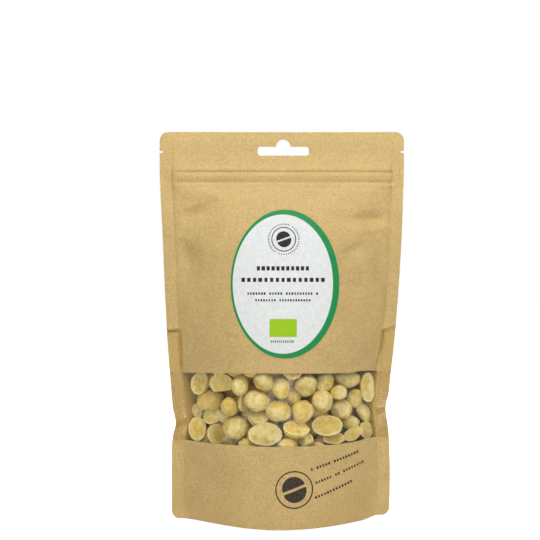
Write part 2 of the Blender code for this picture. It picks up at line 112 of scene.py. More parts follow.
# Distances between a sheet's rows and columns
STEP, FINE_STEP = 1.15, 0.58
# Heights between which a sheet's rows lie closer together: at the closure, in front (-1) and at the back (1)
CLOSURE_ROWS, FINE_ROWS = (216, 230), {-1: ((50, 76), (118, 129)), 1: ()}

# The hang slot is a bar with a round hump above its middle; a notch to tear from cuts into each side.
SLOT_X, SLOT_BAR_Z, SLOT_HUMP_Z = 1.0, 240.95, 243.9
SLOT_WIDTH, SLOT_HEIGHT, SLOT_CORNER, SLOT_HUMP_RADIUS = 33.6, 5.9, 1.7, 4.7
NOTCH_Z, NOTCH_DEPTH, NOTCH_HALF_HEIGHT = 240.3, 2.4, 0.75

# Soft dents of the front, as x, height, half width, half height, turn in degrees and depth
FRONT_DENTS = (
    (-54, 200, 13, 5.0, 14, 3.0),
    (-62, 171, 10, 8.5, -10, 3.6),
    (-60, 158, 11, 9.0, 0, 1.7),
    (58, 196, 19, 4.2, 3, 3.6),
    (45, 174, 9, 5.0, 30, 2.1),
    (44, 150, 10, 11.0, 0, 1.4),
    (68, 166, 8, 10.0, 0, 2.4),
    (-30, 209, 18, 3.4, 8, 0.9),
    (-50, 141, 13, 9.0, 24, 1.2),
    (53, 136, 9, 12.0, -18, 1.3),
    (-22, 104, 26, 4.0, 4, 0.5),
    (30, 36, 22, 9.0, 20, 0.8),
    (-34, 22, 20, 10.0, -14, 0.9),
)
# Creases of the front, from x, height to x, height, how wide and how deep; a negative depth stands out
FRONT_CREASES = (
    (-78, 124.2, -66.0, 125.0, 0.8, -2.0),
    (-78, 122.3, -66.5, 122.8, 0.8, 1.5),
    (-67.4, 125, -65.8, 94, 0.8, 1.7),
    (-64.6, 122, -63.2, 97, 1.0, -0.5),
    (-70.4, 121, -69.0, 97, 0.8, -0.5),
    (75.5, 127.6, 64.6, 124.2, 0.8, -1.5),
    (74.5, 124.4, 67.0, 121.8, 0.7, 0.9),
    (67.0, 125.4, 65.2, 110, 0.6, 1.7),
    (65.7, 114, 61.4, 94, 0.7, 1.6),
    (68.6, 123, 64.0, 97, 0.8, -0.9),
    (64.0, 118, 61.6, 104, 0.8, -0.5),
    (-43, 124.6, -26, 119.4, 0.9, -0.5),
    (34, 152.0, 47, 156.8, 0.7, -0.5),
    (38, 126.0, 48, 111, 1.0, -0.5),
    (-76, 199, -48, 208, 1.3, -0.6),
    (46, 186, 76, 192, 1.3, -0.7),
    (-77, 187, -56, 182, 1.1, -0.5),
    (26, 170, 58, 185, 1.5, -0.5),
    (-69, 52, -60, 36, 1.0, -0.6),
    (68, 50, 59, 34, 1.0, -0.5),
    (-34, 206, -52, 214, 1.2, -0.4),
)
# The back's own dents and creases, which are fewer and softer
BACK_DENTS = (
    (50, 198, 16, 5.0, -10, 1.4),
    (-54, 190, 14, 6.0, 12, 1.5),
    (10, 150, 30, 9.0, 6, 0.8),
    (-40, 120, 14, 10.0, -30, 0.8),
    (46, 96, 13, 9.0, 20, 0.9),
    (0, 60, 26, 8.0, 0, 0.5),
    (-36, 34, 18, 9.0, 14, 0.6),
    (40, 28, 16, 8.0, -12, 0.6),
)
BACK_CREASES = (
    (60, 206, 34, 190, 1.4, -0.4),
    (-70, 196, -46, 186, 1.4, -0.4),
    (-20, 166, 18, 158, 1.6, -0.3),
    (20, 110, 52, 118, 1.2, -0.35),
    (-66, 100, -50, 84, 1.2, -0.4),
    (66, 72, 50, 62, 1.2, -0.4),
    (-52, 44, -38, 60, 1.4, -0.3),
)
# Folds at the waist, where the sides are drawn in: they run through the front, the film and the back
WAIST_FOLDS = (
    (-75, 60.8, -59.5, 68.0, 1.1, -1.5),
    (-74, 57.4, -60, 62.6, 1.1, 1.2),
    (-70, 50.0, -62, 58.0, 1.0, -0.6),
    (73, 75.6, 60.5, 71.4, 1.0, -1.4),
    (72, 71.8, 61, 66.4, 1.1, 1.2),
    (69, 62.0, 61, 57.0, 1.0, -0.8),
)
# The closure pressed through the front: height, half width, depth at the middle, extra depth at the sides
CLOSURE_LINES = ((226.9, 0.9, 0.95, 0.05), (224.4, 1.2, -0.3, 0.0), (220.2, 1.4, 0.65, 0.35))

# How much fuller the kernels are than the frame's nodes, which keep apart: across, and in thickness
SWELL, THICKER = {"whole": 1.15, "half": 1.10}, 1.03
# Least room from a kernel at the window to the smooth film and to the back paper
FILM_ROOM, BACK_ROOM = 0.7, 0.3
# How far the film keeps from the kernels. It follows a gap between them by a share of its depth, of which no
# more than so much counts, and a kernel that stands out of the smooth shape pushes it out by so much at most.
FILM_CLEARANCE, SINK_SHARE, DEEPEST_GAP, FARTHEST_PUSH = 0.65, 0.7, 1.5, 1.7
# The kernels at the window, as in the frame's nodes, in millimetres and degrees:
# kind, x, height, width, height of the piece, thickness, pan, tilt, roll, chips broken off
KERNELS = (
    ("half", -10.8, 59.4, 20.6, 13.8, 8.4, 2, 6, 0, 0),
    ("half", 28.5, 63.1, 18.8, 12.2, 8.0, 4, 8, -3, 0),
    ("whole", -29.8, 61.6, 15.8, 15.4, 13.6, 10, 50, 0, 0),
    ("whole", -2.2, 73.8, 14.6, 15.2, 13.8, 0, -70, 8, 0),
    ("whole", -15.9, 79.8, 15.2, 14.6, 13.4, 20, 70, -10, 0),
    ("whole", 12.6, 73.1, 14.2, 15.2, 13.0, -40, 60, 4, 1),
    ("whole", -46.7, 77.8, 16.0, 12.8, 12.0, 0, 30, 15, 0),
    ("half", -52.3, 89.4, 12.0, 14.8, 6.2, -32, 5, -20, 0),
    ("half", -38.3, 89.7, 14.2, 12.4, 6.6, -8, 4, -30, 3),
    ("half", 6.3, 99.2, 12.0, 10.6, 5.2, 0, 16, 0, 0),
    ("whole", 15.1, 89.6, 13.0, 15.6, 12.6, 15, -50, 10, 0),
    ("whole", -0.6, 88.6, 10.2, 15.0, 10.4, -20, 40, 12, 0),
    ("half", 54.9, 86.4, 11.2, 18.0, 5.0, 38, 0, 6, 0),
    ("whole", 36.3, 84.6, 9.8, 9.2, 9.2, 0, 60, 20, 1),
    ("whole", 42.8, 92.6, 15.6, 10.8, 9.4, 0, 20, 0, 0),
    ("whole", 25.7, 79.3, 13.2, 12.8, 12.2, 30, 40, 0, 1),
    ("whole", 38.2, 72.4, 13.2, 13.2, 12.0, -20, 60, 30, 2),
    ("whole", 47.4, 79.6, 8.8, 13.0, 8.4, 12, -30, 0, 1),
    ("half", -45.0, 67.2, 12.0, 11.4, 4.6, -16, 30, -14, 0),
    ("whole", 53.6, 69.8, 8.8, 12.0, 4.6, 26, 20, 10, 1),
    ("half", -54.4, 59.2, 12.2, 14.8, 4.4, -26, 3, 4, 0),
    ("whole", 3.4, 51.8, 11.6, 9.6, 9.6, 20, 30, 0, 0),
    ("half", 8.5, 61.0, 15.6, 10.8, 7.0, 8, 48, -8, 1),
    ("half", 45.6, 56.2, 13.2, 7.4, 5.2, 14, 20, 26, 1),
    ("whole", -33.7, 75.4, 11.4, 11.0, 10.6, 60, 20, 0, 0),
    ("whole", -26.8, 89.6, 9.8, 12.4, 10.0, 0, 30, 0, 0),
    ("whole", 44.6, 63.6, 10.8, 8.4, 8.6, 0, -10, -14, 1),
    ("half", -43.6, 56.2, 12.0, 12.4, 6.4, 30, 8, 24, 0),
    ("half", 54.2, 58.4, 9.0, 11.0, 4.0, 30, 0, 20, 0),
    ("half", 33.4, 54.2, 13.6, 8.6, 6.0, 4, 30, 8, 1),
    ("whole", 15.2, 54.2, 8.6, 9.6, 8.8, 0, 40, 0, 2),
    ("whole", -11.6, 92.4, 12.0, 12.4, 11.4, -20, -40, 0, 0),
    ("half", -15.0, 67.6, 12.4, 10.4, 6.4, 0, 50, 4, 0),
    ("half", -54.8, 70.6, 7.2, 9.4, 3.6, -32, 0, 14, 0),
    ("half", -25.0, 78.0, 10.0, 12.6, 6.2, 46, 0, -4, 0),
    ("whole", 27.2, 90.8, 11.4, 13.4, 11.6, 30, -30, 0, 0),
    ("whole", 6.8, 82.4, 9.8, 10.8, 9.6, 0, 20, 20, 0),
    ("whole", 23.4, 70.8, 10.4, 9.6, 9.4, 0, -30, 30, 1),
    ("whole", -32.4, 51.6, 12.0, 11.2, 11.2, 0, 45, 0, 0),
    ("whole", -21.6, 50.6, 11.2, 10.8, 10.6, 0, 15, 0, 0),
    ("whole", -49.6, 50.8, 10.4, 9.8, 9.2, 0, 10, 0, 0),
    ("whole", -20.8, 70.4, 9.4, 9.2, 7.4, 0, 10, 0, 0),
    ("whole", 23.4, 48.6, 8.6, 9.0, 7.6, 0, 25, 0, 0),
    ("whole", 20.6, 61.4, 10.6, 11.0, 9.4, 0, -25, 0, 0),
    ("whole", -36.6, 67.6, 8.6, 8.4, 6.8, 0, 15, 0, 0),
    ("whole", -6.4, 97.4, 11.4, 11.8, 11.2, 0, 5, 0, 0),
    ("whole", 35.6, 98.4, 12.0, 11.6, 11.2, 0, 75, 0, 0),
    ("whole", 38.6, 65.0, 8.6, 8.2, 6.8, 0, 15, 0, 0),
)


# Helpers ---------------------------------------------------------------------------------------------------


def linear(code):
    """A colour given as sRGB hex, as linear red, green and blue."""
    parts = [int(code[i : i + 2], 16) / 255 for i in (1, 3, 5)]
    return tuple(c / 12.92 if c <= 0.04045 else ((c + 0.055) / 1.055) ** 2.4 for c in parts)


def plug(tree, node, **links):
    """Fills a node's sockets, by name or as _index, with values or links."""
    for name, value in links.items():
        socket = node.inputs[int(name[1:]) if name[0] == "_" else name.replace("_", " ")]
        if isinstance(value, bpy.types.NodeSocket):
            tree.links.new(value, socket)
        else:
            socket.default_value = value
    return node


def add_node(tree, kind, settings=None, **links):
    """Adds a node with its settings, and with values or links in its sockets."""
    made = tree.nodes.new(kind)
    for name, value in (settings or {}).items():
        setattr(made, name, value)
    return plug(tree, made, **links)


def through(stations, heights):
    """The values at heights of the smooth curve through (height, value) stations, which never overshoots."""
    spots, values = np.array(stations, float).T
    rates = np.diff(values) / np.diff(spots)
    product, total = rates[:-1] * rates[1:], rates[:-1] + rates[1:]
    between = np.divide(2 * product, total, out=np.zeros_like(total), where=product > 0)
    slopes = np.array([rates[0], *between, rates[-1]])
    at = np.clip(heights, spots[0], spots[-1])
    i = np.clip(np.searchsorted(spots, at) - 1, 0, len(spots) - 2)
    span = spots[i + 1] - spots[i]
    t = (at - spots[i]) / span
    near = (2 * t**3 - 3 * t**2 + 1) * values[i] + (t**3 - 2 * t**2 + t) * span * slopes[i]
    far = (3 * t**2 - 2 * t**3) * values[i + 1] + (t**3 - t**2) * span * slopes[i + 1]
    return near + far


def ease(t):
    """0 below 0, 1 above 1, and a smooth rise between."""
    t = np.clip(t, 0.0, 1.0)
    return t * t * (3 - 2 * t)


def crumple(x, z, size, seed, octaves=3):
    """A soft random field, between about -1 and 1, whose largest waves are about size across."""
    points = zip(np.ravel(x) / size, np.ravel(z) / size)
    found = [noise.fractal((a, b, seed), 0.9, 2.0, octaves) for a, b in points]
    return np.array(found).reshape(np.shape(x))


def dents(x, z, table):
    """Soft oval hollows."""
    total = np.zeros(np.shape(x))
    for cx, cz, wide, tall, turn, depth in table:
        a = math.radians(turn)
        u = ((x - cx) * math.cos(a) + (z - cz) * math.sin(a)) / wide
        v = ((z - cz) * math.cos(a) - (x - cx) * math.sin(a)) / tall
        total -= depth * np.exp(-(u * u + v * v))
    return total


def creases(x, z, table):
    """Sharp folds along straight lines, fading out towards both ends."""
    total, end = np.zeros(np.shape(x)), 0.2
    for x0, z0, x1, z1, wide, depth in table:
        long = math.hypot(x1 - x0, z1 - z0)
        along = ((x - x0) * (x1 - x0) + (z - z0) * (z1 - z0)) / long**2
        off = np.abs((x - x0) * (z1 - z0) - (z - z0) * (x1 - x0)) / long
        fade = ease(along / end) * ease((1 - along) / end)
        total -= depth * fade * np.exp(-off / wide) * np.exp(-((off / (4 * wide)) ** 2))
    return total


# The pouch's shape -----------------------------------------------------------------------------------------


class Shape:
    """The filled pouch, as a pair of sheets that meet in a seam. side is -1 in front and 1 at the back."""

    def __init__(self, sizes):
        self.half = sizes.flat_width / MM / 2
        self.seal = sizes.side_seal / MM
        self.inner = self.half - self.seal
        self.height = sizes.height / MM
        self.corner = sizes.corner_radius / MM
        self.rumple = sizes.rumple

    def sides(self, z):
        """x of the inner edges of the left and the right side seal."""
        return self.seal - through(LEFT_EDGE, z), through(RIGHT_EDGE, z) - self.seal

    def bulge(self, s, z):
        """How far a sheet stands out at the share s of the way from its middle to a seal."""
        share = np.clip(1 - np.abs(s) ** through(FULLNESS, z), 0, 1)
        return np.clip(through(DEPTH, z), 0, None) * share ** through(DRAW_IN, z)

    def skin(self, across, z, side):
        """Points of a sheet, across counting from its middle line."""
        across, z = np.broadcast_arrays(np.asarray(across, float), np.asarray(z, float))
        s = np.clip(across / self.inner, -1, 1)
        left, right = self.sides(z)
        past = np.clip(np.maximum(z - self.height, -z) + self.corner, 0, self.corner)
        inset = self.corner - np.sqrt(self.corner**2 - past**2)
        seal = np.clip((np.abs(across) - self.inner) / self.seal, 0, 1.2)
        x = (left + right) / 2 + s * (right - left) / 2 + np.sign(across) * seal * (self.seal - inset)
        # A standing pouch is never quite flat: its sides and its top sway.
        sway = 0.9 * np.sin((z - 40) / 34) * (x / 80) ** 2 + 0.5 * np.sin(x / 27 + 1) * ease((z - 205) / 40)
        y = side * self.bulge(s, z) + sway
        # The foot's right corner doesn't touch the table.
        lifted_corner = 2.2 * ease((x - 50) / 14) * (1 - ease(z / 30))
        up = z + through(BOW, z) * (1 - s * s) + lifted_corner
        return np.stack([x, y, up], -1)

    def outward(self, across, z, side):
        """The sheet's normal, pointing out of the pouch."""
        reach = 0.4
        a = np.clip(across, -self.half + reach, self.half - reach)
        h = np.clip(z, self.corner + reach, self.height - self.corner - reach)
        along = self.skin(a + reach, h, side) - self.skin(a - reach, h, side)
        up = self.skin(a, h + reach, side) - self.skin(a, h - reach, side)
        normal = np.cross(along, up)
        normal /= np.linalg.norm(normal, axis=-1, keepdims=True)
        return normal * np.where(normal[..., 1:2] * side > 0, 1, -1)

    def place(self, across, z, side, lift):
        """Points of a layer that lies lift outside the sheet."""
        across, z = np.broadcast_arrays(np.asarray(across, float), np.asarray(z, float))
        lift = np.broadcast_to(np.asarray(lift, float), across.shape)
        return self.skin(across, z, side) + self.outward(across, z, side) * lift[..., None]

    def over(self, x, z):
        """The station across the sheet, and its height there, of the sheet's point at x and z."""
        height = np.asarray(z, float)
        for _ in range(4):
            left, right = self.sides(height)
            s = np.clip((x - (left + right) / 2) / ((right - left) / 2), -1, 1)
            height = z - through(BOW, height) * (1 - s * s)
        return s * self.inner, height

    def free(self, x, z):
        """How freely the sheets crumple: less in seals, at the closure, under the label and at the foot."""
        seal = 1 - 0.75 * ease((np.abs(x) - 62) / 8)
        top = 1 - 0.8 * ease((z - 212) / 6)
        label = 1 - 0.6 * ease((1.25 - np.hypot((x - 1.9) / 35, (z - 154.2) / 48)) / 0.25)
        return seal * top * label * (0.45 + 0.55 * ease(z / 30))

    def at_closure(self, x, z, end):
        """1 along the zip, where its strips hold the sheets apart, fading out at end."""
        return ease((z - 215.5) / 3) * ease((230.5 - z) / 3) * ease((end - np.abs(x)) / 4)

    def front_relief(self, x, z):
        """How far the front paper stands out from its smooth shape."""
        free = self.free(x, z) * self.rumple
        # Waves of 36, 11 and 3.4 mm, under the dents and creases
        waves = 0.7 * crumple(x, z, 36, 1.3) + 0.16 * crumple(x, z, 11, 7.1) + 0.05 * crumple(x, z, 3.4, 4.2)
        total = free * (waves + dents(x, z, FRONT_DENTS))
        total += self.rumple * creases(x, z, FRONT_CREASES + WAIST_FOLDS)
        total += 0.45 * self.at_closure(x, z, 76)
        for height, wide, middle, extra in CLOSURE_LINES:
            ends = ease((x + 71) / 5) * ease((75 - x) / 3)
            depth = middle + extra * np.clip(np.abs(x - 8) / 50, 0, 1)
            total -= depth * ends * np.exp(-(((z - height) / wide) ** 2))
        return total - self.seal_line(x, z)

    def seal_line(self, x, z):
        """The step where the heat-sealed margin begins, at the sides and along the top."""
        left, right = self.sides(z)
        beside = np.minimum(np.abs(x - left + 0.6), np.abs(x - right - 0.6))
        above = 0.13 * np.clip(z - 248, 0, 6) * ease((78 - np.abs(x)) / 4)
        return 0.35 * np.exp(-((beside / 0.9) ** 2)) * ease((z - 6) / 10) + above

    def columns(self):
        """Stations across a sheet, closer together at the side seals and beside them."""
        inner = self.half - 18
        return stations(-self.half, self.half, (-self.half, -inner), (inner, self.half))

    def sealed(self, x, z):
        """1 where the two sheets are sealed together, in the side seals and along the top, and 0 inside."""
        left, right = self.sides(z)
        return np.maximum(ease(np.maximum(left - x, x - right) / 2 + 0.5), ease((z - 238) / 6))

    def back_relief(self, x, z):
        """How far the back paper stands out; in the seals it follows the front paper."""
        free = self.free(x, z) * self.rumple
        waves = 0.6 * crumple(x, z, 40, 11.7) + 0.18 * crumple(x, z, 12, 17.1)
        total = free * (waves + dents(x, z, BACK_DENTS))
        total += self.rumple * creases(x, z, BACK_CREASES)
        total += 0.85 * self.at_closure(x, z, 78)
        for height, wide, middle, extra in CLOSURE_LINES:
            total -= 0.6 * middle * ease((71 - np.abs(x)) / 5) * np.exp(-(((z - height) / wide) ** 2))
        sealed = self.sealed(x, z)
        return (total - self.seal_line(x, z)) * (1 - sealed) - self.front_relief(x, z) * sealed


def shape():
    """The pouch's shape, from the sizes that are set now."""
    return Shape(bpy.context.scene.pouch_sizes)


# Meshes ----------------------------------------------------------------------------------------------------


def mesh_of(bm, name):
    """Turns a bmesh into a mesh and frees it."""
    mesh = bpy.data.meshes.new(name)
    bm.to_mesh(mesh)
    bm.free()
    return mesh


def new_object(name, mesh, *materials):
    """Puts a mesh in the scene, with its materials."""
    made = bpy.data.objects.new(name, mesh)
    bpy.context.scene.collection.objects.link(made)
    for material in materials:
        made.data.materials.append(material)
    return made


def finished(obj):
    """Gives obj the mesh that its modifiers make, and removes them."""
    graph = bpy.context.evaluated_depsgraph_get()
    made = bpy.data.meshes.new_from_object(
        obj.evaluated_get(graph), preserve_all_data_layers=True, depsgraph=graph
    )
    obj.modifiers.clear()
    obj.data = made
    return obj


def piece(obj, slot, *nodes):
    """Lets a finished piece ride on the pouch and stand for the frame's nodes."""
    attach(obj, "root")
    if nodes:
        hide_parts(*nodes)
    return obj


def grid(name, points, facing):
    """An open surface from an array of rows of points, in millimetres, its faces looking along facing."""
    rows, columns = points.shape[:2]
    bm = bmesh.new()
    bmesh.ops.create_grid(bm, x_segments=columns - 1, y_segments=rows - 1, size=1.0)
    for vert in bm.verts:
        column = round((vert.co.x + 1) / 2 * (columns - 1))
        row = round((vert.co.y + 1) / 2 * (rows - 1))
        vert.co = points[row, column] * MM
    bm.normal_update()
    if sum((f.normal * f.calc_area() for f in bm.faces), Vector()).dot(Vector(facing)) < 0:
        bmesh.ops.reverse_faces(bm, faces=bm.faces)
    return mesh_of(bm, name)


def thicken(obj, thickness):
    """Gives an open surface its thickness, in metres, half to each side."""
    modifier = obj.modifiers.new("Thickness", "SOLIDIFY")
    modifier.thickness = thickness
    modifier.offset = 0.0
    modifier.use_even_offset = False


def stations(low, high, *fine):
    """Even steps from low to high, of half the length between each pair in fine."""
    marks = sorted({low, high, *(min(max(m, low), high) for pair in fine for m in pair)})
    found = [low]
    for start, end in zip(marks, marks[1:]):
        close = any(a <= (start + end) / 2 <= b for a, b in fine)
        count = max(1, round((end - start) / (FINE_STEP if close else STEP)))
        found += list(np.linspace(start, end, count + 1)[1:])
    return np.array(found)


def sheet(name, low, high, side, lift, relief, thickness, material):
    """A layer of the pouch between two heights, which may vary across it."""
    s = shape()
    across = s.columns()
    zone = (np.min(low), np.max(high))
    corners = (zone[1] - 6, zone[1]) if zone[1] > 250 else (0, 6)
    step = stations(*zone, CLOSURE_ROWS, corners, *FINE_ROWS[side])
    share = (step - zone[0]) / (zone[1] - zone[0])
    low, high = np.broadcast_to(low, across.shape), np.broadcast_to(high, across.shape)
    z = low[None, :] + share[:, None] * (high - low)[None, :]
    a = np.broadcast_to(across[None, :], z.shape)
    flat = s.skin(a, z, side)
    points = s.place(a, z, side, lift + relief(flat[..., 0], z))
    obj = new_object(name, grid(name, points, (0, side, 0)), material)
    thicken(obj, thickness)
    return obj


def opening_cutters(s):
    """The hang slot's bar and hump, and the two tear notches, as solids that run through both sheets."""
    made, depth = [], 14 * MM
    bar = bmesh.new()
    bmesh.ops.create_cube(bar, size=1.0)
    bmesh.ops.scale(bar, vec=(SLOT_WIDTH * MM, depth, SLOT_HEIGHT * MM), verts=bar.verts)
    upright = [e for e in bar.edges if abs((e.verts[0].co - e.verts[1].co).y) > depth / 2]
    bmesh.ops.bevel(bar, geom=upright, offset=SLOT_CORNER * MM, segments=6, profile=0.5, affect="EDGES")
    bmesh.ops.translate(bar, vec=(SLOT_X * MM, 0, SLOT_BAR_Z * MM), verts=bar.verts)
    made.append(new_object("slot_bar", mesh_of(bar, "slot_bar")))
    for name, x, z, wide, tall, segments in (
        ("slot_hump", SLOT_X, SLOT_HUMP_Z, SLOT_HUMP_RADIUS, SLOT_HUMP_RADIUS, 40),
        ("left_notch", -s.half, NOTCH_Z, NOTCH_DEPTH, NOTCH_HALF_HEIGHT, 24),
        ("right_notch", s.half, NOTCH_Z, NOTCH_DEPTH, NOTCH_HALF_HEIGHT, 24),
    ):
        bm = bmesh.new()
        bmesh.ops.create_cone(bm, cap_ends=True, segments=segments, radius1=1.0, radius2=1.0, depth=depth)
        place = Matrix.Translation((x * MM, 0, z * MM)) @ Matrix.Rotation(math.pi / 2, 4, "X")
        bmesh.ops.transform(bm, matrix=place @ Matrix.Diagonal((wide * MM, tall * MM, 1, 1)), verts=bm.verts)
        made.append(new_object(name, mesh_of(bm, name)))
    return made


def punch(obj, cutters):
    """Cuts the openings through a sheet."""
    for tool in cutters:
        modifier = obj.modifiers.new(tool.name, "BOOLEAN")
        modifier.operation = "DIFFERENCE"
        modifier.solver = "MANIFOLD"
        modifier.object = tool
    finished(obj)
    return obj


def smooth(obj, angle=None):
    """Shades smooth, but for edges sharper than angle, in degrees."""
    obj.data.shade_smooth()
    if angle:
        obj.data.set_sharp_from_angle(angle=math.radians(angle))
    return obj


def lined(obj, side):
    """Marks a sheet's plastic-lined inner faces and, half as strongly, the hot-pressed seals at the film."""
    x, _, z = np.array([p.center for p in obj.data.polygons]).T / MM
    left, right = shape().sides(z)
    pressed = ease(np.maximum(left - x, x - right) + 0.5) * ease((z - 46) / 6) * ease(124.5 - z)
    inside = np.array([p.normal.y * side < 0 for p in obj.data.polygons])
    share = np.where(inside, 1.0, 0.5 * pressed * (side < 0))
    obj.data.attributes.new("lining", "FLOAT", "FACE").data.foreach_set("value", share)
    return obj


# Materials -------------------------------------------------------------------------------------------------


def material(name):
    """A new material with its tree, its shader and its output."""
    made = bpy.data.materials.new(name)
    made.use_nodes = True
    tree = made.node_tree
    return made, tree, tree.nodes["Principled BSDF"], tree.nodes["Material Output"]


def unbleached_kraft():
    """Unbleached kraft on a plastic lining: matte brown, mottled by pulp, with paler and darker fibres, and
    painted shade across the middle of its height.
    """
    if "unbleached_kraft" in bpy.data.materials:
        return bpy.data.materials["unbleached_kraft"]
    looks = bpy.context.scene.pouch_looks
    made, tree, shader, _ = material("unbleached_kraft")
    spot = add_node(tree, "ShaderNodeTexCoord").outputs["Object"]
    # Pulp gathers in flecks from 0.2 to 1 mm across.
    pulp = add_node(tree, "ShaderNodeTexNoise", Vector=spot, Scale=900.0, Detail=3.0, Roughness=0.7)
    cloud = add_node(tree, "ShaderNodeTexNoise", Vector=spot, Scale=70.0, Detail=3.0, Roughness=0.6)
    colour = looks.kraft
    deep = tuple(c * 0.86 for c in colour[:3])
    pale = tuple(min(1, c * 1.13) for c in colour[:3])
    ramp = add_node(tree, "ShaderNodeValToRGB", Fac=pulp.outputs["Fac"])
    ramp.color_ramp.elements[0].position, ramp.color_ramp.elements[1].position = 0.36, 0.64
    ramp.color_ramp.elements[0].color = (*deep, 1)
    ramp.color_ramp.elements[1].color = (*pale, 1)
    haze = add_node(
        tree, "ShaderNodeMapRange",
        Value=cloud.outputs["Fac"], From_Min=0.3, From_Max=0.7, To_Min=0.95, To_Max=1.05,
    )
    toned = add_node(
        tree, "ShaderNodeVectorMath", {"operation": "SCALE"},
        _0=ramp.outputs["Color"], Scale=haze.outputs["Result"],
    )
    # The sheets are painted a touch darker across the middle of their height and a touch lighter at the top
    # and the foot: painted shade and painted light.
    height = add_node(tree, "ShaderNodeSeparateXYZ", Vector=spot).outputs["Z"]
    from_middle = add_node(tree, "ShaderNodeMath", {"operation": "SUBTRACT"}, _0=height, _1=0.140)
    away = add_node(tree, "ShaderNodeMath", {"operation": "ABSOLUTE"}, _0=from_middle.outputs[0])
    painted_shade_band = add_node(
        tree, "ShaderNodeMapRange", {"interpolation_type": "SMOOTHSTEP"},
        Value=away.outputs[0], From_Min=0.030, From_Max=0.065, To_Min=0.945, To_Max=1.012,
    )
    last = add_node(
        tree, "ShaderNodeVectorMath", {"operation": "SCALE"},
        _0=toned.outputs["Vector"], Scale=painted_shade_band.outputs["Result"],
    ).outputs["Vector"]
    # Fibres are 0.1 mm by 3 mm and lie every way; two crossed sets are drawn 0.4 mm wide.
    for turn, shade, stretch in ((0.5, 0.86, (900, 900, 130)), (-0.9, 1.12, (160, 900, 900))):
        bent = add_node(tree, "ShaderNodeMapping", Vector=spot, Rotation=(0, turn, 0), Scale=stretch)
        fibre = add_node(tree, "ShaderNodeTexNoise", Vector=bent.outputs["Vector"], Scale=1.0, Detail=1.0)
        mask = add_node(tree, "ShaderNodeMapRange", Value=fibre.outputs["Fac"], From_Min=0.66, From_Max=0.74)
        tint = add_node(tree, "ShaderNodeMapRange", Value=mask.outputs["Result"], To_Min=1.0, To_Max=shade)
        last = add_node(
            tree, "ShaderNodeVectorMath", {"operation": "SCALE"}, _0=last, Scale=tint.outputs["Result"]
        ).outputs["Vector"]
    # The plastic lining wets the inner side, which looks deeper.
    lining = add_node(tree, "ShaderNodeAttribute", {"attribute_name": "lining"}).outputs["Fac"]
    wet = add_node(
        tree, "ShaderNodeMix", {"data_type": "RGBA", "blend_type": "MULTIPLY"},
        _0=lining, _6=last, _7=(0.92, 0.86, 0.60, 1),
    )
    rough = add_node(tree, "ShaderNodeMapRange", Value=cloud.outputs["Fac"], To_Min=0.55, To_Max=0.70)
    bump = add_node(tree, "ShaderNodeBump", Height=pulp.outputs["Fac"], Strength=0.25, Distance=0.0002)
    plug(
        tree, shader, Base_Color=wet.outputs[2], Roughness=rough.outputs["Result"],
        Specular_IOR_Level=0.34, Normal=bump.outputs["Normal"],
    )
    return made


def cast_polypropylene():
    """Clear cast polypropylene: it shows the kernels behind a soft gloss, stronger where it turns away."""
    looks = bpy.context.scene.pouch_looks
    made, tree, shader, out = material("cast_polypropylene")
    tree.nodes.remove(shader)
    spot = add_node(tree, "ShaderNodeTexCoord").outputs["Object"]
    # The film wrinkles in waves of about 8 mm where it spans between kernels.
    wave = add_node(tree, "ShaderNodeTexNoise", Vector=spot, Scale=125.0, Detail=2.0)
    bump = add_node(tree, "ShaderNodeBump", Height=wave.outputs["Fac"], Strength=0.5, Distance=0.001)
    gloss = add_node(tree, "ShaderNodeBsdfAnisotropic", Roughness=0.16, Normal=bump.outputs["Normal"])
    clear = add_node(tree, "ShaderNodeBsdfTransparent", Color=(0.99, 0.982, 0.962, 1))
    edge = add_node(tree, "ShaderNodeLayerWeight", Blend=0.5, Normal=bump.outputs["Normal"]).outputs["Facing"]
    steep = add_node(tree, "ShaderNodeMath", {"operation": "POWER"}, _0=edge, _1=3.5).outputs[0]
    share = add_node(
        tree, "ShaderNodeMath", {"operation": "MULTIPLY_ADD"}, _0=steep, _1=0.6, _2=looks.film_gloss
    )
    mix = add_node(
        tree, "ShaderNodeMixShader",
        _0=share.outputs["Value"], _1=clear.outputs["BSDF"], _2=gloss.outputs["BSDF"],
    )
    plug(tree, out, Surface=mix.outputs["Shader"])
    return made


